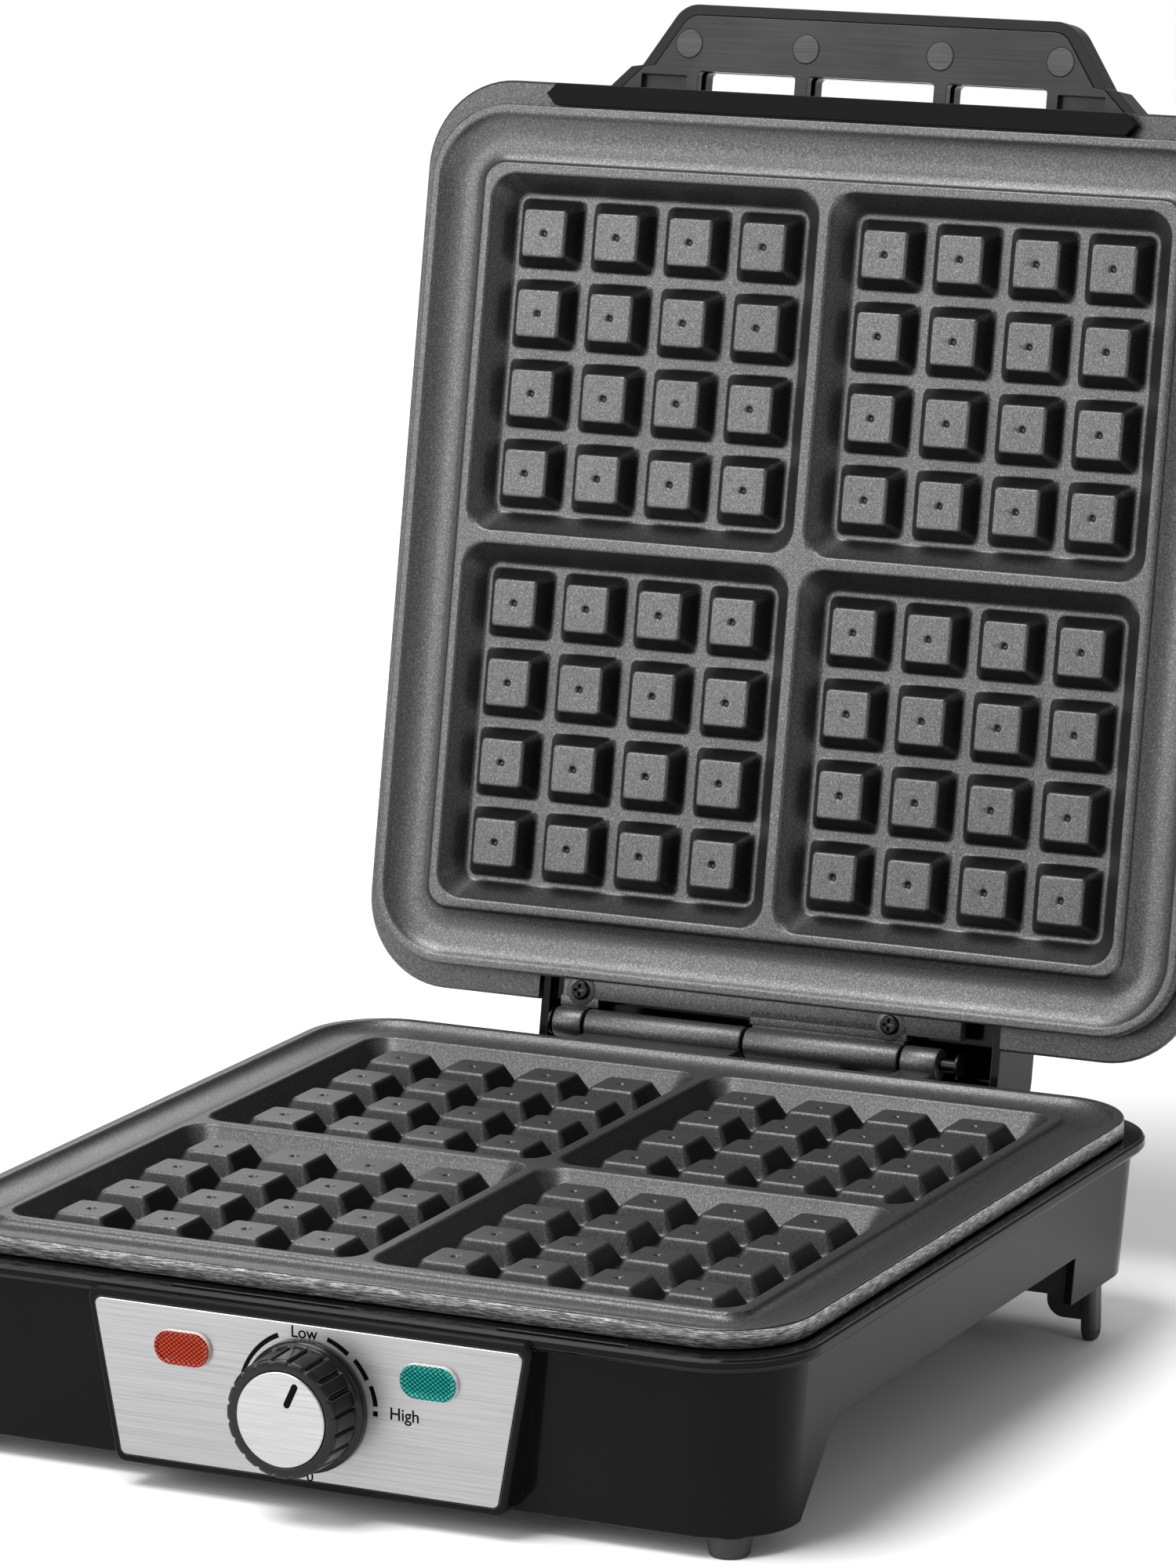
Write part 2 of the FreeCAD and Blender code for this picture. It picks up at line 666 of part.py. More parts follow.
def knob_body():
    """Moulded knob: skirt, fluted grip and a recess for the cap."""
    skirt = rod_y(0, knob_back_y - 2.2, knob_back_y, dial_z, knob_skirt_r)
    grip = Part.makeCone(knob_grip_r - 0.6, knob_grip_r + 0.6, knob_back_y - 2.0 - knob_front_y,
                         Vector(0, knob_front_y, dial_z), Vector(0, 1, 0))
    body = joined(skirt, grip)
    flutes = []
    count = 20
    for i in range(count):
        angle = 2 * math.pi * i / count
        reach = knob_grip_r + 1.15
        flutes.append(rod_y(reach * math.cos(angle), knob_front_y - 1, knob_back_y - 2.2,
                            dial_z + reach * math.sin(angle), 1.55))
    recess = rod_y(0, knob_front_y - 1, knob_front_y + 1.4, dial_z, knob_cap_r + 0.15)
    socket = rod_y(0, knob_front_y + 4.0, knob_back_y + 1, dial_z, shaft_r)
    hollow = rod_y(0, knob_front_y + 5.0, knob_back_y + 1, dial_z, 13.0)
    hollow = hollow.cut(rod_y(0, knob_front_y + 4.0, knob_back_y + 1, dial_z, 6.0))
    return body.cut(flutes + [recess, socket, hollow])


def pointer_frame(shape):
    """Turns a piece drawn for a knob pointing straight up to where the knob stands at rest."""
    return turned(shape, Vector(0, 0, dial_z), Vector(0, 1, 0), pointer_angle)


def knob_cap():
    cap = rod_y(0, knob_front_y - 0.5, knob_front_y + 1.4, dial_z, knob_cap_r)
    rim = [edge for edge in cap.Edges if abs(edge.BoundBox.YMax - (knob_front_y - 0.5)) < 0.01]
    cap = cap.makeFillet(0.4, rim)
    slot = pointer_slot(knob_front_y - 1.0, knob_front_y + 0.5, 0.0)
    return cap.cut(slot)


def pointer_slot(y0, y1, shrink):
    half = 0.95 - shrink
    low, high = [dial_z + reach for reach in pointer_reach]
    bar = block(-half, half, y0, y1, low, high)
    ends = [rod_y(0, y0, y1, z, half) for z in (low, high)]
    return pointer_frame(joined(bar, *ends))


def knob_pointer():
    return pointer_slot(knob_front_y - 0.45, knob_front_y + 0.5, 0.05)


def thermostat_shaft():
    shaft = rod_y(0, knob_front_y + 4.2, -117.0, dial_z, shaft_r - 0.02)
    return shaft


def thermostat_bracket():
    """Pressed steel strap across the back of the front wall."""
    web = block(-26, 26, -124.0, -122.6, dial_z - 11, dial_z + 11)
    feet = [block(side * 30 - 8, side * 30 + 8, -124.0, -122.6, dial_z - 9, dial_z + 3) for side in (-1, 1)]
    strap = joined(web, *feet)
    return strap.cut(rod_y(0, -126, -120, dial_z, 5.05))


def thermostat_nut():
    """Ring nut that clamps the thermostat's neck to the strap."""
    hexagon = [(7.0 * math.cos(math.radians(60 * i)), dial_z + 7.0 * math.sin(math.radians(60 * i)))
               for i in range(6)]
    return prism_y(hexagon, -127.0, -124.0).cut(rod_y(0, -128, -123, dial_z, 5.0))


def thermostat_body():
    """Ceramic body with a threaded neck and two tabs."""
    neck = rod_y(0, -127.0, -118.0, dial_z, 5.0)
    body = block(-12, 12, -122.6, -108.0, dial_z - 9, dial_z + 9)
    tabs = [block(side * 7 - 3, side * 7 + 3, -108.0, -101.0, dial_z + 4.6, dial_z + 5.4) for side in (-1, 1)]
    shell = joined(neck, body, *tabs)
    return shell.cut(rod_y(0, -128, -116.5, dial_z, shaft_r + running_fit))


def thermal_fuse():
    """Cut-out fuse clipped under the lower shield."""
    case = rod_x(-58, -38, 20, 40.2, 2.4)
    leads = rod_x(-64, -32, 20, 40.2, 0.7)
    return joined(case, leads)


def fuse_clip():
    strap = block(-52, -44, 15.6, 24.4, 37.0, 43.4)
    strap = strap.cut(block(-53, -43, 16.4, 23.6, 36, 42.8))
    return joined(strap, block(-52, -44, 10.0, 16.2, 42.8, 43.4))


# ---------------------------------------------------------------- hinge
def hinge_pin():
    shaft = rod_x(-67.0, 66.0, hinge_y, hinge_z, pin_r)
    grooves = []
    for x0 in (-66.6, 64.9):
        ring = rod_x(x0, x0 + 0.7, hinge_y, hinge_z, pin_r + 0.5)
        grooves.append(ring.cut(rod_x(x0, x0 + 0.7, hinge_y, hinge_z, pin_r - 0.5)))
    return shaft.cut(grooves)


def hinge_clips():
    """Spring clips in the grooves at the pin's ends."""
    clips = []
    for x0 in (-66.55, 64.95):
        ring = rod_x(x0, x0 + 0.6, hinge_y, hinge_z, 3.9)
        inner = rod_x(x0 - 1, x0 + 2, hinge_y, hinge_z, pin_r - 0.45)
        mouth = block(x0 - 1, x0 + 2, hinge_y - 1.3, hinge_y + 1.3, hinge_z - 5, hinge_z)
        clips.append(ring.cut([inner, mouth]))
    return Part.makeCompound(clips)


def phillips_screw(x, y, z_head, length):
    """Pan-head screw pointing up, with its head at the bottom."""
    head = rod_z(x, y, z_head - 1.2, z_head + 0.6, 2.9)
    rim = [edge for edge in head.Edges if abs(edge.BoundBox.ZMax - (z_head - 1.2)) < 0.01]
    head = head.makeFillet(0.8, rim)
    shank = rod_z(x, y, z_head + 0.5, z_head + length, 1.65)
    slots = [block(x - 1.9, x + 1.9, y - 0.45, y + 0.45, z_head - 2, z_head + 0.1),
             block(x - 0.45, x + 0.45, y - 1.9, y + 1.9, z_head - 2, z_head + 0.1)]
    return joined(head, shank).cut(slots)


def hinge_screws():
    z = lid_rim + 1.5 - 0.6
    return Part.makeCompound([phillips_screw(x, hinge_screw_y, z, 8.0) for x in hinge_screw_xs])


def plate_screw_set(z_tip, up):
    """Four screws that hold a plate: up is +1 when the head is below the tip."""
    screws = []
    for x, y in plate_screws:
        shank = rod_z(x, y, -screw_grip, 0, 1.6)
        head = rod_z(x, y, -screw_grip - 2.0, -screw_grip, 3.4)
        drive = block(x - 2.2, x + 2.2, y - 0.5, y + 0.5, -screw_grip - 3, -screw_grip - 1.0)
        cross = block(x - 0.5, x + 0.5, y - 2.2, y + 2.2, -screw_grip - 3, -screw_grip - 1.0)
        screw = joined(shank, head).cut([drive, cross])
        if up < 0:
            screw = turned(screw, Vector(x, y, 0), Vector(1, 0, 0), 180)
        screws.append(lifted(screw, z_tip))
    return Part.makeCompound(screws)


# ---------------------------------------------------------------- lid
def lid_sections(inset):
    """Profile of the lid from its lip to the crown, for the outer face or inset for the inner."""
    plan = ((2.6, 24.5, cover_foot), (4.6, 23.0, 86.0), (8.0, 22.0, 95.0),
            (15.5, 20.0, 101.5), (30.0, 16.0, 104.6), (46.0, 14.0, lid_top))
    sections = []
    for gap, corner, z in plan:
        drop = inset if z > 100 else 0.0
        sections.append((body_half_x - gap - inset, body_half_y - gap - inset, corner - inset, z - drop))
    return sections


def hood_solid(half, grow):
    """Rear hood over the hinge; grow shrinks it for the hollow inside."""
    y_back = hinge_y + hood_back - grow
    z_low = hinge_z + 7.5
    z_high = 97.0 - grow
    body = block(-half, half, body_half_y - 12, y_back, z_low - (1 if grow else 0), z_high)
    rear_edge = [edge for edge in body.Edges
                 if abs(edge.BoundBox.YMin - y_back) < 0.01 and abs(edge.BoundBox.ZMin - z_high) < 0.01]
    return body.makeFillet(10.0 - grow, rear_edge)


def lid_outer():
    return tapered(lid_sections(0.0))


def lid_frame():
    """Flat frame round the upper plate, open at the back for the hinge."""
    top = lid_lip + lip_thickness
    ring = tapered([
        (body_half_x - 0.7, body_half_y - 0.7, body_corner - 0.7, lid_lip),
        (body_half_x, body_half_y, body_corner, lid_lip + 0.7),
        (body_half_x, body_half_y, body_corner, top - 0.6),
        (body_half_x - 0.8, body_half_y - 0.8, body_corner - 0.8, top + 0.4),
    ])
    ring = ring.cut(rounded_prism(122.5, 122.5, 17, lid_lip - 1, top + 1))
    opening = hood_half + 0.3
    return ring.cut(block(-opening, opening, 110, 150, lid_lip - 1, top + 1))


def lid_cover():
    """Top shell of the lid: domed cover and the hood behind the hinge."""
    cover = joined(lid_outer(), hood_solid(hood_half, 0.0))
    hollow = tapered(lid_sections(2.6))
    hinge_room = block(-hood_room, hood_room, 122, hinge_y + 9.0, lid_lip - 1, lid_lip + 4.5)
    cover = cover.cut([hollow, hood_solid(hood_half - 2.6, 2.6), hinge_room])
    seats = [rod_z(x, hinge_screw_y, lid_lip + 0.1, lid_lip + 9, 4.6).cut(
        rod_z(x, hinge_screw_y, lid_lip, lid_lip + 8, 1.75)) for x in hinge_screw_xs]
    bridge = block(1.5 - hood_half, hood_half - 1.5, 128.5, plate_half + 7.0, lid_lip + 4.6, lid_lip + 9)
    bridge = bridge.cut([rod_z(x, hinge_screw_y, lid_lip, lid_lip + 8, 1.75) for x in hinge_screw_xs])
    seat_z = lid_rim + pan_depth + pillar_length + 0.1
    posts = [rod_z(x, y, seat_z, 103.0, 6.0) for x, y in plate_screws]
    wells = [rod_z(x, y, seat_z + 2.0, 112.0, 4.2) for x, y in plate_screws]
    holes = [rod_z(x, y, seat_z - 1.0, seat_z + 3.0, 1.8) for x, y in plate_screws]
    return cover.fuse(seats + [bridge] + posts).cut(wells + holes)


def handle_plan(inset):
    """Outline (x, y) of the handle seen from above."""
    right = [
        (62.5 - 0.6 * inset, handle_front_y + inset),
        (75.0 - 1.25 * inset, -145.0),
        (78.7 - 1.25 * inset, -144.4),
        (90.5 - 1.25 * inset, -133.0),
        (90.5 - 1.25 * inset, -126.0 - inset),
    ]
    left = [(-x, y) for x, y in reversed(right)]
    return right + left


def handle_slots(z0, z1):
    """Three finger slots between the grip and the lid."""
    slots = []
    for x0, x1 in ((-56.5, -24.5), (-20.5, 20.5), (24.5, 56.5)):
        slots.append(rounded_prism((x1 - x0) / 2, 3.6, 1.4, z0, z1, (x0 + x1) / 2, slot_y))
    return slots


def handle_outer_shell():
    """Upper half of the handle: grip, rim and the root that meets the lid."""
    body = prism_z(handle_plan(0.0), handle_under_z, handle_top_z)
    upright = [edge for edge in body.Edges
               if edge.BoundBox.ZLength > 5 and abs(edge.BoundBox.YMin - handle_front_y) < 0.01]
    body = body.makeFillet(9.0, upright)
    top = [edge for edge in body.Edges if edge.BoundBox.ZMin > handle_top_z - 0.01
           and edge.BoundBox.YMax < -134.0 and edge.BoundBox.YMin < -146.0]
    body = body.makeFillet(2.5, top)
    bed = prism_z(handle_plan(3.0), handle_under_z - 1, handle_under_z + 6.0)
    upright = [edge for edge in bed.Edges
               if edge.BoundBox.ZLength > 5 and abs(edge.BoundBox.YMin - handle_front_y - 3.0) < 0.01]
    bed = bed.makeFillet(6.5, upright)
    keep = block(-100, 100, -136.0, -120, handle_under_z - 2, handle_top_z)
    body = body.cut([bed.cut(keep)])
    body = body.cut(handle_slots(handle_under_z - 1, handle_top_z + 1))
    bosses = [rod_z(x, plug_y, handle_under_z + 3.2, handle_under_z + 6.5, 3.4) for x in plug_xs]
    body = body.fuse(bosses)
    holes = [rod_z(x, plug_y, handle_under_z, handle_under_z + 9.5, 1.35) for x in plug_xs]
    return body.cut(holes + [lid_outer()])


def handle_inner_shell():
    """Lower half of the handle, let into the upper one and held by four screws."""
    body = prism_z(handle_plan(3.3), handle_under_z - 0.2, handle_under_z + 2.8)
    upright = [edge for edge in body.Edges
               if edge.BoundBox.ZLength > 2 and abs(edge.BoundBox.YMin - handle_front_y - 3.3) < 0.01]
    body = body.makeFillet(6.2, upright)
    body = body.cut([block(-100, 100, -136.3, -120, 80, 110)])
    body = body.cut(handle_slots(handle_under_z - 1, handle_top_z + 1))
    holes = []
    for x in plug_xs:
        holes.append(rod_z(x, plug_y, handle_under_z - 1, handle_under_z + 1.6, plug_r + 0.1))
        holes.append(rod_z(x, plug_y, handle_under_z, handle_under_z + 5, 1.8))
    for side in (-1, 1):
        holes.append(block(side * 67.5 - 7.5, side * 67.5 + 7.5, -142.4, -137.0,
                           handle_under_z - 1, handle_under_z + 1.9))
    return body.cut(holes)


def handle_screws():
    screws = []
    for x in plug_xs:
        head = rod_z(x, plug_y, handle_under_z + 0.9, handle_under_z + 1.6, 3.0)
        shank = rod_z(x, plug_y, handle_under_z + 1.6, handle_under_z + 9.0, 1.3)
        screws.append(joined(head, shank))
    return Part.makeCompound(screws)


def handle_plugs():
    """Round plugs over the handle's screws."""
    plugs = []
    for x in plug_xs:
        disc = rod_z(x, plug_y, handle_under_z - 0.5, handle_under_z + 0.9, plug_r)
        low = [edge for edge in disc.Edges if abs(edge.BoundBox.ZMax - (handle_under_z - 0.5)) < 0.01]
        plugs.append(disc.makeFillet(0.3, low))
    return Part.makeCompound(plugs)


def handle_strip():
    """Gloss strip with pointed ends under the lid's front lip."""
    z0, z1 = lid_lip - 3.6, lid_lip
    front, back = -body_half_y + 0.4, -plate_half - 0.6
    middle = (front + back) / 2
    outline = [(-91.5, front), (91.5, front), (94.5, middle), (91.5, back), (-91.5, back), (-94.5, middle)]
    return prism_z(outline, z0, z1)


# ---------------------------------------------------------------- export
def place(shape, on_lid):
    copy = shape.copy()
    if on_lid:
        copy.rotate(Vector(0, hinge_y, hinge_z), Vector(1, 0, 0), -open_angle)
    copy.translate(Vector(0, origin_shift, 0))
    return copy


def export(node, shape, on_lid=False):
    place(shape, on_lid).exportStep("parts/" + node + ".step")


def main():
    os.makedirs("parts", exist_ok=True)
    export("lower_housing", lower_housing())
    export("bottom_cover", bottom_cover())
    export("bottom_cover_screws", bottom_screws())
    export("front_feet", front_feet())
    export("rear_feet", rear_feet())
    export("cord_gland", cord_gland())
    export("terminal_block", terminal_block())
    export("terminal_screws", terminal_screws())
    export("internal_wiring", internal_wiring())
    export("control_bezel", control_bezel())
    export("control_panel", control_panel())
    export("power_lamp_lens", lamp_lens(-1))
    export("ready_lamp_lens", lamp_lens(1))
    export("power_lamp_bulb", neon_lamp(-1))
    export("ready_lamp_bulb", neon_lamp(1))
    export("lamp_holders", lamp_holders())
    export("knob_body", knob_body())
    export("knob_cap", knob_cap())
    export("knob_pointer", knob_pointer())
    export("thermostat_shaft", thermostat_shaft())
    export("thermostat_body", thermostat_body())
    export("thermostat_bracket", thermostat_bracket())
    export("thermostat_nut", thermostat_nut())
    export("thermal_fuse", thermal_fuse())
    export("fuse_clip", fuse_clip())
    export("lower_cooking_plate", lower_cooking_plate())
    export("lower_heating_element", heating_element(rim_height - pan_depth - 3.3))
    export("lower_reflector", reflector(rim_height - pan_depth - 7.8, 1))
    export("lower_plate_screws", plate_screw_set(rim_height - pan_depth - 2.0, 1))
    export("hinge_pin", hinge_pin())
    export("hinge_clips", hinge_clips())
    export("lid_frame", lid_frame(), True)
    export("lid_cover", lid_cover(), True)
    export("upper_cooking_plate", upper_cooking_plate(), True)
    export("upper_heating_element", heating_element(lid_rim + pan_depth + 3.3), True)
    export("upper_reflector", reflector(lid_rim + pan_depth + 7.8, -1), True)
    export("upper_plate_screws", plate_screw_set(lid_rim + pan_depth + 2.0, -1), True)
    export("hinge_screws", hinge_screws(), True)
    export("handle_outer_shell", handle_outer_shell(), True)
    export("handle_inner_shell", handle_inner_shell(), True)
    export("handle_screws", handle_screws(), True)
    export("handle_plugs", handle_plugs(), True)
    export("handle_strip", handle_strip(), True)


main()
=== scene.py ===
import json
import math

import bmesh
import bpy
import numpy as np
from mathutils import Matrix, Vector


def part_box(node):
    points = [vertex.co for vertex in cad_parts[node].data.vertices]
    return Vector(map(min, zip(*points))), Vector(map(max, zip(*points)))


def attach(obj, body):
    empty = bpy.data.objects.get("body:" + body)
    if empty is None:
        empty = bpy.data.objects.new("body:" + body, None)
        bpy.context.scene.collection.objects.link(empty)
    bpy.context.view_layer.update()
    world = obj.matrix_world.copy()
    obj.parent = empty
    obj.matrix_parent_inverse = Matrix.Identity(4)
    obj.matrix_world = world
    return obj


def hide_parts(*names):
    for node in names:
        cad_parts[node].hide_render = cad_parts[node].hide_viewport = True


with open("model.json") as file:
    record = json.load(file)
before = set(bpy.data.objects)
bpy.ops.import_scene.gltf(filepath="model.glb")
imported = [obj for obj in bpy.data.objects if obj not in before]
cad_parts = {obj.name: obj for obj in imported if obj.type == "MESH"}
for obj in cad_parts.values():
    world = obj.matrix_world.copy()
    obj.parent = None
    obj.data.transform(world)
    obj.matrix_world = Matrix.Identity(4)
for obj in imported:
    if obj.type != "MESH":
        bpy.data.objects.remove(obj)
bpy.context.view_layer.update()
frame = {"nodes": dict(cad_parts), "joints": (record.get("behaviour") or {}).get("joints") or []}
MM = 0.001

# ------------------------------------------------------------ sizes (mm) and places in the frame
PLATE_HALF = 129.5
PLATE_CORNER = 24.0
PLATE_GAP = 0.8
STUD_PITCH = 24.0
WELL_CENTRE = 55.5
FLOOR, RIDGE, STUD_TOP = -8.0, -0.5, -1.5
STUD_OFFSETS = [(i - 1.5) * STUD_PITCH for i in range(4)]
DIAL_Z = 30.0
LENS_Z = 41.0
LENS_STRAIGHT = 3.6
OPEN_TURN = math.radians(101.0)

hinge = next(joint for joint in frame["joints"] if joint["name"] == "lid_hinge")
hinge_point = Vector(hinge["pos_m"])
base_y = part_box("lower_cooking_plate")[0][1] / MM + PLATE_HALF
rim_z = hinge_point.z / MM - 1.0
knob_front, knob_back = (corner[1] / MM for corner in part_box("knob_body"))
panel_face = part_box("control_panel")[0][1] / MM


def lid_turn():
    """Carries a point of the closed lid to where it stands open."""
    there = Matrix.Translation(hinge_point)
    back = Matrix.Translation(-hinge_point)
    return there @ Matrix.Rotation(-OPEN_TURN, 4, "X") @ back


LOWER = Matrix.Translation((0, base_y * MM, rim_z * MM)) @ Matrix.Scale(MM, 4)
UPPER = (lid_turn() @ Matrix.Translation((0, base_y * MM, (rim_z + PLATE_GAP) * MM))
         @ Matrix.Rotation(math.pi, 4, "Y") @ Matrix.Scale(MM, 4))


# ------------------------------------------------------------ camera and light
def set_camera():
    azimuth, elevation, roll = (math.radians(a) for a in (25.92, 12.11, -0.14))
    distance = 1.9692
    target = Vector((14.47, base_y, rim_z + 108.28)) * MM
    back = Vector((math.sin(azimuth) * math.cos(elevation),
                   -math.cos(azimuth) * math.cos(elevation), math.sin(elevation)))
    right = Vector((math.cos(azimuth), math.sin(azimuth), 0))
    up = back.cross(right)
    right_rolled = right * math.cos(roll) + up * math.sin(roll)
    up_rolled = back.cross(right_rolled)
    data = bpy.data.cameras.new("camera")
    data.sensor_fit = "VERTICAL"
    data.sensor_height = 36.0
    data.lens = 165.37
    camera = bpy.data.objects.new("camera", data)
    turn = Matrix((right_rolled, up_rolled, back)).transposed().to_4x4()
    camera.matrix_world = Matrix.Translation(target + back * distance) @ turn
    bpy.context.scene.collection.objects.link(camera)
    bpy.context.scene.camera = camera


def hang_light(name, data, place, direction):
    light = bpy.data.objects.new(name, data)
    light.location = place
    light.rotation_euler = Vector(direction).to_track_quat("-Z", "Y").to_euler()
    bpy.context.scene.collection.objects.link(light)


def add_area(name, place, aim, size, power):
    data = bpy.data.lights.new(name, "AREA")
    data.shape = "RECTANGLE"
    data.size, data.size_y = size
    data.energy = power
    hang_light(name, data, place, Vector(aim) - Vector(place))


def add_sun(direction, strength, spread):
    data = bpy.data.lights.new("sky", "SUN")
    data.energy = strength
    data.angle = math.radians(spread)
    hang_light("sky", data, (0, 0, 0), direction)


def set_light():
    scene = bpy.context.scene
    scene.view_settings.view_transform = "Standard"
    world = bpy.data.worlds.new("studio")
    world.use_nodes = True
    background = world.node_tree.nodes["Background"]
    background.inputs["Color"].default_value = (1, 1, 1, 1)
    background.inputs["Strength"].default_value = 0.30
    scene.world = world
    add_sun((0.25, 0.35, -1.0), 2.75, 34)
    add_area("front_box", (-1.15, -1.55, 0.95), (0, 0.05, 0.17), (1.7, 1.4), 27)
    add_area("side_box", (1.9, -0.5, 0.8), (0, 0, 0.15), (0.25, 1.2), 3)
    add_area("back_box", (-0.5, 1.6, 1.3), (0, 0, 0.05), (1.8, 0.7), 18)


def add_floor():
    mesh = bpy.data.meshes.new("floor")
    size = 60.0
    mesh.from_pydata([(-size, -size, 0), (size, -size, 0), (size, size, 0), (-size, size, 0)],
                     [], [(0, 1, 2, 3)])
    floor = bpy.data.objects.new("floor", mesh)
    bpy.context.scene.collection.objects.link(floor)
    mat = bpy.data.materials.new("floor_white")
    mat.use_nodes = True
    shader = mat.node_tree.nodes["Principled BSDF"]
    shader.inputs["Base Color"].default_value = (0.93, 0.93, 0.93, 1)
    shader.inputs["Roughness"].default_value = 0.75
    shader.inputs["Specular IOR Level"].default_value = 0.2
    mesh.materials.append(mat)


# ------------------------------------------------------------ materials
class Finish:
    """A Principled material whose colour, roughness and bump are driven by noise."""

    def __init__(self, name, colour, roughness, metallic=0.0):
        self.mat = bpy.data.materials.new(name)
        self.mat.use_nodes = True
        self.nodes = self.mat.node_tree.nodes
        self.links = self.mat.node_tree.links
        self.shader = self.nodes["Principled BSDF"]
        self.shader.inputs["Base Color"].default_value = (*colour, 1)
        self.shader.inputs["Roughness"].default_value = roughness
        self.shader.inputs["Metallic"].default_value = metallic
        self.place = self.nodes.new("ShaderNodeTexCoord").outputs["Object"]
        self.height = None

    def set(self, **values):
        for key, value in values.items():
            self.shader.inputs[key.replace("_", " ")].default_value = value
        return self

    def stretched(self, scale, turn=(0, 0, 0)):
        node = self.nodes.new("ShaderNodeMapping")
        node.inputs["Scale"].default_value = scale
        node.inputs["Rotation"].default_value = turn
        self.links.new(self.place, node.inputs["Vector"])
        return node.outputs["Vector"]

    def noise(self, scale, detail=2.0, rough=0.5, vector=None):
        node = self.nodes.new("ShaderNodeTexNoise")
        node.inputs["Scale"].default_value = scale
        node.inputs["Detail"].default_value = detail
        node.inputs["Roughness"].default_value = rough
        self.links.new(vector or self.place, node.inputs["Vector"])
        return node.outputs["Fac"]

    def ramp(self, value, stops):
        node = self.nodes.new("ShaderNodeValToRGB")
        ramp = node.color_ramp
        while len(ramp.elements) < len(stops):
            ramp.elements.new(0.5)
        for element, (position, colour) in zip(ramp.elements, stops):
            element.position = position
            element.color = (*colour, 1)
        self.links.new(value, node.inputs["Fac"])
        return node.outputs["Color"]

    def remap(self, value, low, high, start=0.3, end=0.7):
        node = self.nodes.new("ShaderNodeMapRange")
        node.inputs["From Min"].default_value = start
        node.inputs["From Max"].default_value = end
        node.inputs["To Min"].default_value = low
        node.inputs["To Max"].default_value = high
        self.links.new(value, node.inputs["Value"])
        return node.outputs["Result"]

    def tint(self, value, stops):
        """Drives the colour through a ramp."""
        self.links.new(self.ramp(value, stops), self.shader.inputs["Base Color"])
        return self

    def mixed(self, kind, colour, factor):
        """Blends a colour with another colour or value."""
        mix = self.nodes.new("ShaderNodeMix")
        mix.data_type = "RGBA"
        mix.blend_type = kind
        mix.inputs["Factor"].default_value = 1.0
        self.links.new(colour, mix.inputs[6])
        self.links.new(factor, mix.inputs[7])
        return mix.outputs[2]

    def along(self, vector, direction):
        """Dot product of a vector output with a fixed direction or another output."""
        node = self.nodes.new("ShaderNodeVectorMath")
        node.operation = "DOT_PRODUCT"
        self.links.new(vector, node.inputs[0])
        if isinstance(direction, bpy.types.NodeSocket):
            self.links.new(direction, node.inputs[1])
        else:
            node.inputs[1].default_value = direction
        return node.outputs["Value"]

    def math(self, operation, first, second=None):
        node = self.nodes.new("ShaderNodeMath")
        node.operation = operation
        self.links.new(first, node.inputs[0])
        if second is not None:
            self.links.new(second, node.inputs[1])
        return node.outputs["Value"]

    def shade_walls(self, colour, facing):
        """Darkens what stands steep to the given direction."""
        normal = self.nodes.new("ShaderNodeTexCoord").outputs["Normal"]
        steep = self.math("ABSOLUTE", self.along(normal, facing))
        return self.mixed("MULTIPLY", colour, self.remap(steep, 0.17, 1.0, 0.50, 0.80))

    def shade_side(self, colour, facing, darkest):
        """Darkens what faces the given direction."""
        normal = self.nodes.new("ShaderNodeTexCoord").outputs["Normal"]
        turned = self.along(normal, facing)
        return self.mixed("MULTIPLY", colour, self.remap(turned, 1.0, darkest, 0.1, 0.8))

    def catch_edges(self, colour, radius, shine):
        """Rounds hard edges in the shading and lightens them with a painted highlight along the
        edges.
        """
        bevel = self.nodes.new("ShaderNodeBevel")
        bevel.samples = 6
        bevel.inputs["Radius"].default_value = radius
        normal = self.nodes.new("ShaderNodeNewGeometry").outputs["Normal"]
        sameness = self.along(bevel.outputs["Normal"], normal)
        edge_highlight = self.mixed("ADD", colour, self.remap(sameness, shine, 0.0, 0.86, 0.995))
        self.links.new(edge_highlight, self.shader.inputs["Base Color"])
        self.height = bevel.outputs["Normal"]
        return self

    def shade_corners(self, colour, reach, darkest):
        """Multiplies the colour down towards darkest where the surface is hemmed in."""
        closeness = self.nodes.new("ShaderNodeAmbientOcclusion")
        closeness.inputs["Distance"].default_value = reach
        closeness.samples = 8
        factor = self.remap(closeness.outputs["AO"], darkest, 1.0, 0.15, 0.6)
        self.links.new(self.mixed("MULTIPLY", colour, factor), self.shader.inputs["Base Color"])
        return self

    def vary(self, value, low, high):
        """Drives the roughness between low and high."""
        self.links.new(self.remap(value, low, high), self.shader.inputs["Roughness"])
        return self

    def bump(self, value, distance, strength=1.0):
        node = self.nodes.new("ShaderNodeBump")
        node.inputs["Distance"].default_value = distance
        node.inputs["Strength"].default_value = strength
        self.links.new(value, node.inputs["Height"])
        if self.height is not None:
            self.links.new(self.height, node.inputs["Normal"])
        self.height = node.outputs["Normal"]
        self.links.new(self.height, self.shader.inputs["Normal"])
        return self


def grey(value):
    """A grey with a trace of blue."""
    return (value, value, value * 1.01)


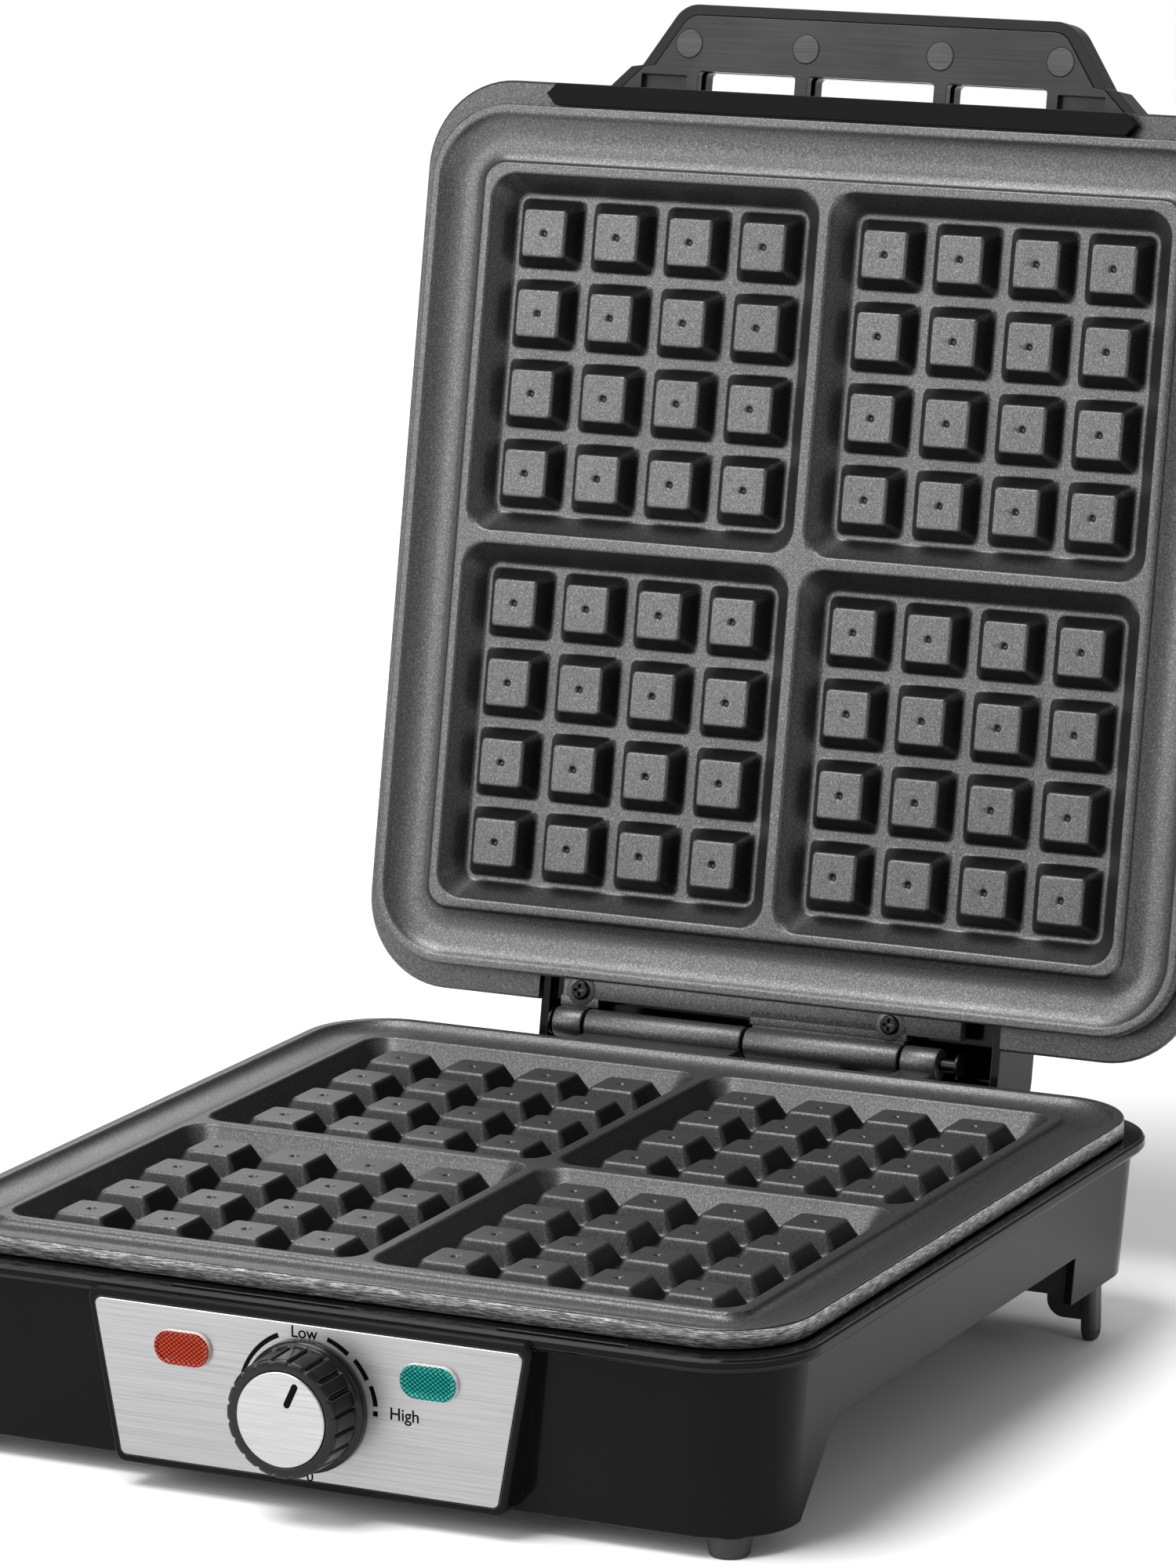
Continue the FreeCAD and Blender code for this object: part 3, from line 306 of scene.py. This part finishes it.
def coated_metal(name, facing=None, dim_side=None, tone=1.0):
    """Dark non-stick coating with a fine metallic grain; painted shade darkens a plate's steep
    walls, the side turned to dim_side and hemmed-in corners.
    """
    look = Finish(name, grey(0.16), 0.33, 0.85)
    grain = look.noise(2000, 2.0, 0.75)
    clouds = look.noise(22, 3.0)
    stops = ((0.30, 0.060), (0.52, 0.105), (0.73, 0.21))
    colour = look.ramp(grain, [(place, grey(value * tone)) for place, value in stops])
    # painted shade: steep walls, the side turned to dim_side and hemmed-in corners are darkened in
    # the colour
    if facing is not None:
        colour = look.shade_walls(colour, facing)
    if dim_side is not None:
        colour = look.shade_side(colour, dim_side, 0.4)
    look.shade_corners(colour, 0.005, 0.38)
    look.vary(clouds, 0.39, 0.46)
    look.bump(grain, 0.00004, 0.6)
    return look.mat


def brushed_rim(turn, name):
    """Machined side of a plate: fine lines, which run level only where turn is zero."""
    look = Finish(name, grey(0.5), 0.36, 0.9)
    lines = look.noise(1.0, 4.0, 0.8, look.stretched((240, 240, 4000), turn))
    clouds = look.noise(1.0, 2.0, 0.5, look.stretched((45, 45, 500), turn))
    look.tint(lines, [(0.36, grey(0.06)), (0.50, grey(0.26)), (0.64, grey(1.0))])
    look.vary(clouds, 0.28, 0.5)
    look.bump(lines, 0.00012, 0.8)
    return look.mat


def gloss_black(name="gloss_black", base=0.005, roughness=0.12, level=0.08, shine=0.09):
    look = Finish(name, grey(base), roughness)
    clouds = look.ramp(look.noise(16, 3.0), [(0.3, grey(base * 0.8)), (0.7, grey(base * 1.25))])
    # painted highlight along the edges
    look.catch_edges(clouds, 0.0005, shine)
    look.vary(look.noise(60, 4.0), roughness * 0.8, roughness * 1.3)
    look.bump(look.noise(320, 1.0), 0.00003, 0.18)
    return look.set(Specular_IOR_Level=level).mat


def brushed_plastic(name, base):
    """Dark plastic with a faint grain drawn along X."""
    look = Finish(name, grey(base), 0.34)
    lines = look.noise(1.0, 3.0, 0.6, look.stretched((30, 1500, 1500)))
    grain = look.ramp(lines, [(0.3, grey(base * 0.65)), (0.7, grey(base * 1.4))])
    # painted highlight along the edges
    look.catch_edges(grain, 0.0004, 0.05)
    look.vary(look.noise(40, 3.0), 0.28, 0.42)
    look.bump(lines, 0.00004, 0.5)
    return look.set(Specular_IOR_Level=0.25).mat


def satin_black(name="satin_black", base=0.02, roughness=0.42, grain=1100):
    look = Finish(name, grey(base), roughness)
    fine = look.noise(grain, 2.0, 0.6)
    look.tint(fine, [(0.3, grey(base * 0.75)), (0.7, grey(base * 1.5))])
    look.vary(fine, roughness - 0.05, roughness + 0.07)
    look.bump(fine, 0.00005, 0.4)
    return look.mat


def brushed_steel(name, axis_scale, base=0.55, roughness=0.3):
    look = Finish(name, grey(base), roughness, 1.0)
    long_lines = look.noise(1.0, 4.0, 0.62, look.stretched(axis_scale))
    clouds = look.noise(9, 2.0)
    look.tint(long_lines, [(0.28, grey(base * 0.82)), (0.5, grey(base)),
                           (0.72, grey(base * 1.14))])
    look.vary(clouds, roughness - 0.03, roughness + 0.05)
    look.bump(long_lines, 0.00003, 0.35)
    return look.mat


def plain_metal(name, base, roughness, grain=900):
    look = Finish(name, grey(base), roughness, 1.0)
    fine = look.noise(grain, 3.0, 0.6)
    look.tint(fine, [(0.3, grey(base * 0.8)), (0.7, grey(base * 1.15))])
    look.vary(fine, roughness - 0.06, roughness + 0.08)
    look.bump(fine, 0.00003, 0.4)
    return look.mat


def lamp_plastic(name, dark, light):
    """Tinted lens plastic with a fine diamond pattern cast into it."""
    look = Finish(name, light, 0.1)
    pitch = 0.6 * MM
    turns = math.pi / pitch
    rising = look.math("SINE", look.along(look.place, (turns * 0.8, 0, turns)))
    falling = look.math("SINE", look.along(look.place, (turns * 0.8, 0, -turns)))
    diamonds = look.math("ADD", rising, falling)
    look.tint(look.remap(diamonds, 0.0, 1.0, -1.4, 1.6), [(0.35, dark), (0.8, light)])
    look.vary(look.noise(900, 1.0), 0.08, 0.14)
    return look.set(Specular_IOR_Level=0.2).mat


def moulded(name, colour, roughness=0.5):
    look = Finish(name, colour, roughness)
    fine = look.noise(700, 2.0)
    darker = tuple(channel * 0.8 for channel in colour)
    look.tint(fine, [(0.3, darker), (0.7, colour)])
    look.vary(fine, roughness - 0.05, roughness + 0.08)
    look.bump(fine, 0.00004, 0.3)
    return look.mat


# ------------------------------------------------------------ mesh helpers
def add_mesh(name, verts, faces, mats, body, face_mats=None, smooth=True):
    mesh = bpy.data.meshes.new(name)
    mesh.from_pydata([tuple(v) for v in verts], [], [tuple(int(i) for i in f) for f in faces])
    for mat in mats:
        mesh.materials.append(mat)
    if face_mats is not None:
        mesh.polygons.foreach_set("material_index", np.asarray(face_mats, dtype=np.int32))
    mesh.polygons.foreach_set("use_smooth", [smooth] * len(mesh.polygons))
    mesh.update()
    piece = bpy.data.objects.new(name, mesh)
    bpy.context.scene.collection.objects.link(piece)
    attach(piece, body)
    return piece


def moved(matrix, points):
    """The points after the matrix, as an array."""
    points = np.asarray(points, dtype=float)
    turn = np.array(matrix.to_3x3())
    return points @ turn.T + np.array(matrix.translation)


def circle(steps):
    """Angles of evenly spaced points round a circle."""
    return [2 * math.pi * i / steps for i in range(steps)]


def band_faces(rows, steps, inward=False):
    """Quads that join each closed ring of points to the next one."""
    faces = []
    for row in range(rows - 1):
        for i in range(steps):
            j = (i + 1) % steps
            near, far = row * steps, (row + 1) * steps
            if inward:
                faces.append((near + i, far + i, far + j, near + j))
            else:
                faces.append((near + i, near + j, far + j, far + i))
    return faces


class Bits:
    """Collects several closed bodies into one mesh."""

    def __init__(self):
        self.verts = []
        self.faces = []

    def add(self, verts, faces):
        start = len(self.verts)
        self.verts += [tuple(v) for v in verts]
        self.faces += [tuple(i + start for i in face) for face in faces]

    def box(self, low, high, bevel=0.4):
        shape = bmesh.new()
        bmesh.ops.create_cube(shape, size=1.0)
        low, high = Vector(low), Vector(high)
        for vert in shape.verts:
            vert.co = Vector((low[i] + (vert.co[i] + 0.5) * (high[i] - low[i]) for i in range(3)))
        bmesh.ops.bevel(shape, geom=shape.edges[:], offset=bevel, segments=2,
                        profile=0.5, affect="EDGES")
        shape.verts.index_update()
        self.add([v.co[:] for v in shape.verts],
                 [[v.index for v in face.verts] for face in shape.faces])
        shape.free()

    def lathe_x(self, profile, y, z):
        """Profile of (x, radius) turned about a line along X."""
        steps = 48
        verts = [(x, y + r * math.cos(a), z + r * math.sin(a))
                 for x, r in profile for a in circle(steps)]
        rows = len(profile)
        faces = band_faces(rows, steps, inward=True)
        faces.append(tuple(range(steps)))
        faces.append(tuple(range((rows - 1) * steps, rows * steps))[::-1])
        self.add(verts, faces)

    def lathe_z(self, profile, x, y):
        """Profile of (z, radius) turned about an upright line."""
        steps = 40
        verts = [(x + r * math.cos(a), y + r * math.sin(a), z)
                 for z, r in profile for a in circle(steps)]
        rows = len(profile)
        faces = band_faces(rows, steps)
        faces.append(tuple(range(steps))[::-1])
        faces.append(tuple(range((rows - 1) * steps, rows * steps)))
        self.add(verts, faces)


def sharpen(piece, angle=38):
    """Smooth shading that keeps edges crisper than the angle."""
    mesh = piece.data
    shape = bmesh.new()
    shape.from_mesh(mesh)
    bmesh.ops.recalc_face_normals(shape, faces=shape.faces[:])
    limit = math.radians(angle)
    for edge in shape.edges:
        if len(edge.link_faces) == 2:
            edge.smooth = edge.calc_face_angle(0.0) < limit
    shape.to_mesh(mesh)
    shape.free()


# ------------------------------------------------------------ cooking plates
def rounded_distance(x, y, half, corner):
    """Signed distance outside a square with round corners."""
    qx = np.abs(x) - (half - corner)
    qy = np.abs(y) - (half - corner)
    outside = np.hypot(np.maximum(qx, 0), np.maximum(qy, 0))
    return outside + np.minimum(np.maximum(qx, qy), 0) - corner


def wall_level(x, y, foot, top):
    """How far up a sloped wall a point lies: 0 on its foot outline, 1 on its top outline."""
    low = np.full(x.shape, -0.6)
    high = np.full(x.shape, 1.6)
    for _ in range(22):
        middle = (low + high) / 2
        half = foot[0] + (top[0] - foot[0]) * middle
        corner = np.maximum(foot[1] + (top[1] - foot[1]) * middle, 0.05)
        beyond = rounded_distance(x, y, half, corner) > 0
        if top[0] > foot[0]:
            low = np.where(beyond, middle, low)
            high = np.where(beyond, high, middle)
        else:
            high = np.where(beyond, middle, high)
            low = np.where(beyond, low, middle)
    return (low + high) / 2


def softened(points, window, step=0.01):
    """Piecewise straight profile with its corners rounded by a moving average."""
    xs = np.arange(points[0][0] - 2 * window, points[-1][0] + 2 * window + step, step)
    ys = np.interp(xs, [p[0] for p in points], [p[1] for p in points])
    count = max(3, int(window / step) | 1)
    padded = np.pad(ys, count // 2, mode="edge")
    ys = np.convolve(padded, np.ones(count) / count, mode="valid")
    return xs, ys


def plate_height(x, y):
    """Height of a plate's face over its rim plane: rim, channel, ridges, wells and studs."""
    edge = rounded_distance(x, y, PLATE_HALF, PLATE_CORNER)
    outer = softened([(-21.0, RIDGE), (-17.6, RIDGE), (-17.0, -1.6), (-16.2, -2.3),
                      (-14.2, -3.1), (-11.5, -3.6), (-9.0, -3.4), (-6.0, -2.5), (-4.1, -1.5),
                      (-3.1, -0.5), (-2.6, 0.0), (0.0, 0.0)], 0.35)
    height = np.interp(edge, *outer)
    wx = np.abs(x) - WELL_CENTRE
    wy = np.abs(y) - WELL_CENTRE
    well = softened([(0.0, FLOOR), (0.93, -1.15), (1.0, RIDGE)], 0.07, 0.001)
    level = wall_level(wx, wy, (47.9, 4.2), (53.8, 8.0))
    inside = level < 1.3
    height = np.where(inside, np.minimum(height, np.interp(level, *well)), height)
    near_x = wx - np.round(wx / STUD_PITCH - 0.5) * STUD_PITCH - STUD_PITCH / 2
    near_y = wy - np.round(wy / STUD_PITCH - 0.5) * STUD_PITCH - STUD_PITCH / 2
    within = (np.abs(wx) < 2 * STUD_PITCH) & (np.abs(wy) < 2 * STUD_PITCH)
    stud = softened([(0.0, FLOOR), (0.95, STUD_TOP - 0.25), (1.05, STUD_TOP)], 0.10, 0.001)
    rise = wall_level(near_x, near_y, (10.4, 2.2), (6.8, 1.3))
    top = np.interp(rise, *stud)
    reach = np.hypot(near_x, near_y)
    dimple = softened([(0.0, -1.25), (0.55, -1.2), (1.15, 0.0), (3.0, 0.0)], 0.35)
    top = top + np.interp(reach, *dimple)
    return np.where(within, np.maximum(height, top), height)


def plate_lines():
    """Grid lines across a plate, close together where the surface bends."""
    rim_gaps = (0.0, 0.35, 0.8, 2.1, 2.5, 2.9, 3.4, 4.4, 6.0, 7.6, 9.4, 11.5, 13.0, 14.4,
                15.6, 16.4, 16.8, 17.1, 17.5, 18.0, 19.2, 19.8, 20.1)
    well_gaps = (54.4, 53.9, 53.5, 53.2, 52.6, 51.6, 50.4, 49.2, 48.5, 48.0, 47.5, 46.9)
    stud_gaps = (0.0, 0.4, 0.8, 1.1, 1.5, 4.5, 6.0, 6.3, 6.6, 6.9, 7.3, 8.6, 9.6, 10.1,
                 10.5, 10.9, 11.5)
    closest = 0.14
    marks = set(np.round(np.linspace(-PLATE_HALF, PLATE_HALF, 75), 3))
    for side in (-1, 1):
        marks.update(round(side * (PLATE_HALF - gap), 3) for gap in rim_gaps)
        for centre in (-WELL_CENTRE, WELL_CENTRE):
            marks.update(round(centre + side * gap, 3) for gap in well_gaps)
            marks.update(round(centre + offset + side * gap, 3)
                         for offset in STUD_OFFSETS for gap in stud_gaps)
    kept = []
    for mark in sorted(marks):
        if not kept or mark - kept[-1] > closest:
            kept.append(mark)
    kept[-1] = PLATE_HALF
    return np.array(kept)


def bend_to_corners(u, v):
    """Maps a square grid onto the plate's outline with its round corners."""
    major = np.maximum(np.abs(u), np.abs(v))
    minor = np.minimum(np.abs(u), np.abs(v))
    corner = np.interp(major, [99.0, 112.0, PLATE_HALF], [0.001, 9.0, PLATE_CORNER])
    turn = np.clip((minor - (major - corner)) / corner, 0, 1) * math.pi / 4
    curved = minor > major - corner
    far = np.where(curved, major - corner + corner * np.cos(turn), major)
    near = np.where(curved, major - corner + corner * np.sin(turn), minor)
    wide = np.abs(u) >= np.abs(v)
    x = np.where(wide, far, near) * np.sign(u)
    y = np.where(wide, near, far) * np.sign(v)
    return x, y


def plate_cast(name, matrix, body, mats):
    """A cooking plate: grid top with rounded edges, machined side and flat underside."""
    edge_drop = -0.45
    side_rows = ((0.0, -0.5), (0.0, -5.2), (0.5, -5.6), (12.0, -5.6), (18.0, -5.7), (18.5, -10.8))
    machined = 1
    lines = plate_lines()
    count = len(lines)
    u, v = np.meshgrid(lines, lines, indexing="ij")
    x, y = bend_to_corners(u, v)
    z = plate_height(x, y)
    border = (np.abs(u) == PLATE_HALF) | (np.abs(v) == PLATE_HALF)
    z[border] = edge_drop
    verts = np.stack([x.ravel(), y.ravel(), z.ravel()], axis=1)
    index = np.arange(count * count).reshape(count, count)
    top = np.stack([index[:-1, :-1], index[1:, :-1], index[1:, 1:], index[:-1, 1:]], axis=-1)
    faces = [tuple(f) for f in top.reshape(-1, 4)]
    kinds = [0] * len(faces)
    loop = (list(index[:, 0]) + list(index[-1, 1:]) + list(index[-2::-1, -1])
            + list(index[0, -2:0:-1]))
    ring = verts[loop]
    rows = [loop]
    extra = []
    for inset, level in side_rows:
        scale = (PLATE_HALF - inset) / PLATE_HALF
        start = count * count + len(extra) * len(loop)
        rows.append(list(range(start, start + len(loop))))
        extra.append(np.stack([ring[:, 0] * scale, ring[:, 1] * scale,
                               np.full(len(loop), level)], axis=1))
    verts = np.vstack([verts] + extra)
    for number, (upper, lower) in enumerate(zip(rows, rows[1:])):
        for i in range(len(loop)):
            j = (i + 1) % len(loop)
            faces.append((upper[i], lower[i], lower[j], upper[j]))
            kinds.append(int(number == machined))
    faces.append(tuple(rows[-1][::-1]))
    kinds.append(0)
    return add_mesh(name, moved(matrix, verts), faces, mats, body, kinds)


def barrel(bits, x0, x1, y, z):
    """Hinge knuckle with eased ends."""
    r = 4.7
    bits.lathe_x([(x0, r - 0.7), (x0 + 0.25, r - 0.2), (x0 + 0.7, r), (x1 - 0.7, r),
                  (x1 - 0.25, r - 0.2), (x1, r - 0.7)], y, z)


def hinge_leaves(coat):
    """Knuckles, webs and rear rails cast on the two plates."""
    rear = PLATE_HALF
    centre_y = hinge_point.y / MM - base_y
    lower = Bits()
    for x0, x1 in ((-54.6, -3.4), (47.8, 59.4)):
        barrel(lower, x0, x1, centre_y, 1.0)
        lower.box((x0 + 0.3, rear - 1.0, -3.5), (x1 - 0.3, centre_y, -0.4))
    lower.box((-63.5, rear - 3, -5.6), (64.2, rear + 5.7, -1.6), 0.5)
    lower.box((-62.0, rear - 3, -2.6), (60.0, rear + 3.2, -0.9), 0.4)
    sharpen(add_mesh("lower_hinge_leaf", moved(LOWER, lower.verts), lower.faces, [coat],
                     "base"))
    upper = Bits()
    flat = Matrix.Translation((0, base_y, rim_z + PLATE_GAP))
    for x0, x1 in ((-65.0, -55.4), (-2.6, 47.0)):
        barrel(upper, x0, x1, centre_y, 0.2)
        upper.box((x0 + 0.3, rear - 1.0, 1.5), (x1 - 0.3, centre_y, 4.3))
    upper.box((-63.5, rear - 3, 1.2), (64.2, rear + 5.7, 5.6), 0.4)
    upper.box((-3.2, rear + 3, 1.2), (47.4, rear + 7.6, 5.6), 0.4)
    upper.box((-65.2, rear + 5.0, 1.2), (-52.6, rear + 8.2, 3.2), 0.4)
    for x in (-58.5, 41.9):
        upper.lathe_z([(0.9, 4.2), (1.3, 4.8), (5.6, 4.8)], x, rear + 3.1)
    to_rest = lid_turn() @ Matrix.Scale(MM, 4) @ flat
    sharpen(add_mesh("upper_hinge_leaf", moved(to_rest, upper.verts), upper.faces, [coat],
                     "lid"))


# ------------------------------------------------------------ knob and dial
def knob_mesh(mat):
    """Fluted grip that flares to a skirt, with a raised rim round its cap."""
    steps = 240
    steps_per_flute = 12
    flute_half, flute_depth = 0.17, 1.15
    depth = knob_back - knob_front
    rows = [(1.4, 12.95, 0.0), (0.25, 13.05, 0.0), (0.0, 13.3, 0.0), (0.0, 15.5, 0.25),
            (0.3, 16.05, 0.5), (0.8, 16.25, 0.8), (1.5, 16.2, 1.0), (depth - 3.2, 16.5, 1.0),
            (depth - 2.6, 16.65, 0.5), (depth - 2.4, 16.9, 0.0), (depth - 2.1, 17.6, 0.0),
            (depth - 1.6, 17.9, 0.0), (depth, 17.9, 0.0), (depth, 14.0, 0.0)]
    verts = []
    for dy, r, flute in rows:
        for i, a in enumerate(circle(steps)):
            wave = (i % steps_per_flute) / steps_per_flute
            groove = max(0.0, 1.0 - abs(wave - 0.5) / flute_half)
            cut = flute * flute_depth * (groove * groove * (3 - 2 * groove))
            verts.append(((r - cut) * math.sin(a), knob_front + dy,
                          DIAL_Z + (r - cut) * math.cos(a)))
    piece = add_mesh("knob_grip", np.array(verts) * MM, band_faces(len(rows), steps), [mat],
                     "knob")
    sharpen(piece, 40)
    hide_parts("knob_body")


def pill(centre_x, y, r, steps):
    """Points round a lens outline: two half circles of radius r joined by straights."""
    points = []
    for a in circle(steps):
        shift = LENS_STRAIGHT if math.cos(a) > 0 else -LENS_STRAIGHT
        points.append((centre_x + shift + r * math.cos(a), y, LENS_Z + r * math.sin(a)))
    return points


def lamp_lens(name, node, mats):
    """Pill-shaped lens: raised smooth border round a face cut with small diamonds."""
    low, high = (Vector(corner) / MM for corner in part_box(node))
    centre_x = ((low + high) / 2).x
    front = panel_face - 1.5
    rows = [(1.55, 4.8), (0.75, 4.8), (0.25, 4.62), (0.02, 4.3), (0.0, 4.0), (0.10, 3.7),
            (0.42, 3.45)]
    steps = 56
    border_rows = 2
    pitch, reach, margin = 1.2, 3.42, 0.45
    diamond = ((0.75, 0), (0, 0.6), (-0.75, 0), (0, -0.6))
    verts = [point for dy, r in rows for point in pill(centre_x, front + dy, r, steps)]
    bits = Bits()
    bits.add(verts, band_faces(len(rows), steps) + [tuple(range(steps))[::-1]])
    for i in range(-12, 13):
        for j in range(-8, 9):
            x, z = i * pitch / 2 * 1.25, j * pitch / 2
            over = max(abs(x) - LENS_STRAIGHT, 0.0)
            if (i + j) % 2 or math.hypot(over, z) > reach - margin:
                continue
            tip = (centre_x + x, front + 0.10, LENS_Z + z)
            ring = [(centre_x + x + dx, front + 0.44, LENS_Z + z + dz) for dx, dz in diamond]
            bits.add([tip] + ring, [(0, 1, 2), (0, 2, 3), (0, 3, 4), (0, 4, 1), (1, 4, 3, 2)])
    bits.add(pill(centre_x, front + 0.45, reach * 1.02, steps), [tuple(range(steps))])
    # the outer border rows take the second material, a painted reflection of the panel hole's edge
    painted_rim_faces = border_rows * steps
    kinds = [1] * painted_rim_faces + [0] * (len(bits.faces) - painted_rim_faces)
    piece = add_mesh(name, np.array(bits.verts) * MM, bits.faces, mats, "base", kinds)
    sharpen(piece, 25)
    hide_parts(node)


def arc_strip(name, start, end, radius, width, mat):
    """Printed arc on the panel: angles in degrees, clockwise from straight up."""
    steps = max(4, int(abs(end - start) / 2))
    front, back = panel_face - 0.03, panel_face + 0.02
    verts, faces = [], []
    for i in range(steps + 1):
        part = i / steps
        a = math.radians(start + (end - start) * part)
        half = (width[0] + (width[1] - width[0]) * part) / 2
        for r, y in ((radius - half, front), (radius + half, front),
                     (radius + half, back), (radius - half, back)):
            verts.append((r * math.sin(a), y, DIAL_Z + r * math.cos(a)))
    for i in range(steps):
        for side in range(4):
            other = (side + 1) % 4
            faces.append((4 * i + side, 4 * i + other, 4 * i + 4 + other, 4 * i + 4 + side))
    faces += [(0, 1, 2, 3), tuple(range(4 * steps, 4 * steps + 4))[::-1]]
    add_mesh(name, np.array(verts) * MM, faces, [mat], "base", smooth=False)


def print_text(name, words, x, z, size, mat):
    """Printed word standing on the panel, a hair proud of it."""
    curve = bpy.data.curves.new(name, "FONT")
    curve.body = words
    curve.size = size * MM
    curve.extrude = 0.00003
    curve.offset = 0.00005
    curve.align_x = "CENTER"
    curve.align_y = "CENTER"
    curve.materials.append(mat)
    piece = bpy.data.objects.new(name, curve)
    piece.location = (x * MM, (panel_face - 0.01) * MM, z * MM)
    piece.rotation_euler = (math.pi / 2, 0, 0)
    bpy.context.scene.collection.objects.link(piece)
    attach(piece, "base")


def print_dial(mat):
    radius = 19.8
    arc_strip("dial_arc", -160, -24, radius, (0.6, 1.4), mat)
    for number, (start, end) in enumerate(((19, 39), (45.5, 63), (68, 83.5))):
        arc_strip("dial_dash_%d" % number, start, end, radius + 0.4 * number, (1.3, 1.4), mat)
    arc_strip("dial_dot", 87.0, 91.0, 20.4, (1.4, 1.4), mat)
    print_text("dial_low", "Low", -0.45, DIAL_Z + 19.5, 4.5, mat)
    print_text("dial_high", "High", 28.9, DIAL_Z + 0.9, 4.7, mat)
    print_text("dial_zero", "0", 0.9, DIAL_Z - 19.4, 4.2, mat)


# ------------------------------------------------------------ putting it together
def dress_nodes(looks):
    """Gives every CAD node its material; fasteners and clips not listed get zinc."""
    chosen = {
        "lower_housing": "gloss", "control_bezel": "gloss", "lid_cover": "gloss",
        "handle_outer_shell": "handle", "handle_inner_shell": "handle_face", "handle_plugs": "plug",
        "handle_strip": "ink", "bottom_cover": "satin", "control_panel": "panel", "knob_cap": "cap",
        "knob_pointer": "ink", "power_lamp_lens": "red", "ready_lamp_lens": "green",
        "power_lamp_bulb": "bulb", "ready_lamp_bulb": "bulb", "lamp_holders": "white",
        "front_feet": "rubber", "rear_feet": "rubber", "cord_gland": "rubber",
        "terminal_block": "white", "internal_wiring": "lead", "thermostat_body": "ceramic",
        "hinge_screws": "dark_screw", "hinge_clips": "dark_screw", "upper_reflector": "shield",
        "lower_reflector": "shield", "upper_heating_element": "element",
        "lower_heating_element": "element", "lower_cooking_plate": "coat",
        "upper_cooking_plate": "coat_up", "lid_frame": "coat_frame", "hinge_pin": "dark_screw",
    }
    for node, piece in frame["nodes"].items():
        mat = looks[chosen.get(node, "zinc")]
        mesh = piece.data
        if not mesh.materials:
            mesh.materials.append(mat)
        for i in range(len(mesh.materials)):
            mesh.materials[i] = mat


def main():
    set_camera()
    set_light()
    add_floor()
    lid_up = lid_turn().to_3x3() @ Vector((0, 0, 1))
    lid_front = lid_turn().to_3x3() @ Vector((0, -1, 0))
    looks = {
        "coat": coated_metal("nonstick_low", facing=(0, 0, 1)),
        "coat_up": coated_metal("nonstick_up", facing=lid_up),
        "gloss": gloss_black(),
        # the lid frame's coating is a darker copy for painted shade: tone 0.72 darkens all of it,
        # and painted shade darkens the side turned to the lid's front
        "coat_frame": coated_metal("nonstick_frame", dim_side=lid_front, tone=0.72),
        "coat_hinge": coated_metal("nonstick_hinge", tone=0.85),
        # pale lens rim: a painted reflection of the panel hole's edge
        "lens_rim_reflection": moulded("lens_rim_reflection", (0.62, 0.58, 0.55), 0.25),
        "ink": gloss_black("deep_black", 0.0015, 0.1, 0.05, 0.0),
        "handle": gloss_black("handle_black", 0.006, 0.16, 0.13, 0.05),
        "handle_face": brushed_plastic("handle_face_black", 0.022),
        "plug": brushed_plastic("plug_black", 0.06),
        "satin": satin_black(),
        "panel": brushed_steel("panel_steel", (25, 25, 2300), 0.40, 0.36),
        "cap": brushed_steel("cap_steel", (40, 40, 2600), 0.50, 0.33),
        "red": lamp_plastic("red_lens", (0.10, 0.001, 0.0005), (0.50, 0.06, 0.02)),
        "green": lamp_plastic("green_lens", (0.0, 0.05, 0.048), (0.01, 0.36, 0.32)),
        "bulb": moulded("lamp_glass", (0.7, 0.6, 0.5), 0.2),
        "white": moulded("white_plastic", (0.7, 0.7, 0.67)),
        "ceramic": moulded("ceramic", (0.72, 0.7, 0.64), 0.6),
        "lead": moulded("lead_sleeve", (0.35, 0.05, 0.04)),
        "rubber": satin_black("foot_rubber", 0.018, 0.6, 700),
        "dark_screw": plain_metal("dark_screw", 0.02, 0.3),
        "zinc": plain_metal("zinc_plate", 0.5, 0.35),
        "shield": plain_metal("heat_shield", 0.7, 0.35, 300),
        "element": plain_metal("element_sheath", 0.16, 0.5),
    }
    dress_nodes(looks)
    rim_low = brushed_rim((0, 0, 0), "lower_rim_lines")
    rim_up = brushed_rim((OPEN_TURN, 0, 0), "upper_rim_lines")
    lower = plate_cast("lower_plate_cast", LOWER, "base", [looks["coat"], rim_low])
    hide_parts("lower_cooking_plate")
    upper = plate_cast("upper_plate_cast", UPPER, "lid", [looks["coat_up"], rim_up])
    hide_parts("upper_cooking_plate")
    hinge_leaves(looks["coat_hinge"])
    knob_mesh(gloss_black("knob_black", 0.004, 0.2, 0.3, 0.06))
    # the lenses' outer border rows get the painted reflection of the panel hole's edge
    edge = looks["lens_rim_reflection"]
    lamp_lens("power_lens_cut", "power_lamp_lens", [looks["red"], edge])
    lamp_lens("ready_lens_cut", "ready_lamp_lens", [looks["green"], edge])
    print_dial(looks["ink"])


main()
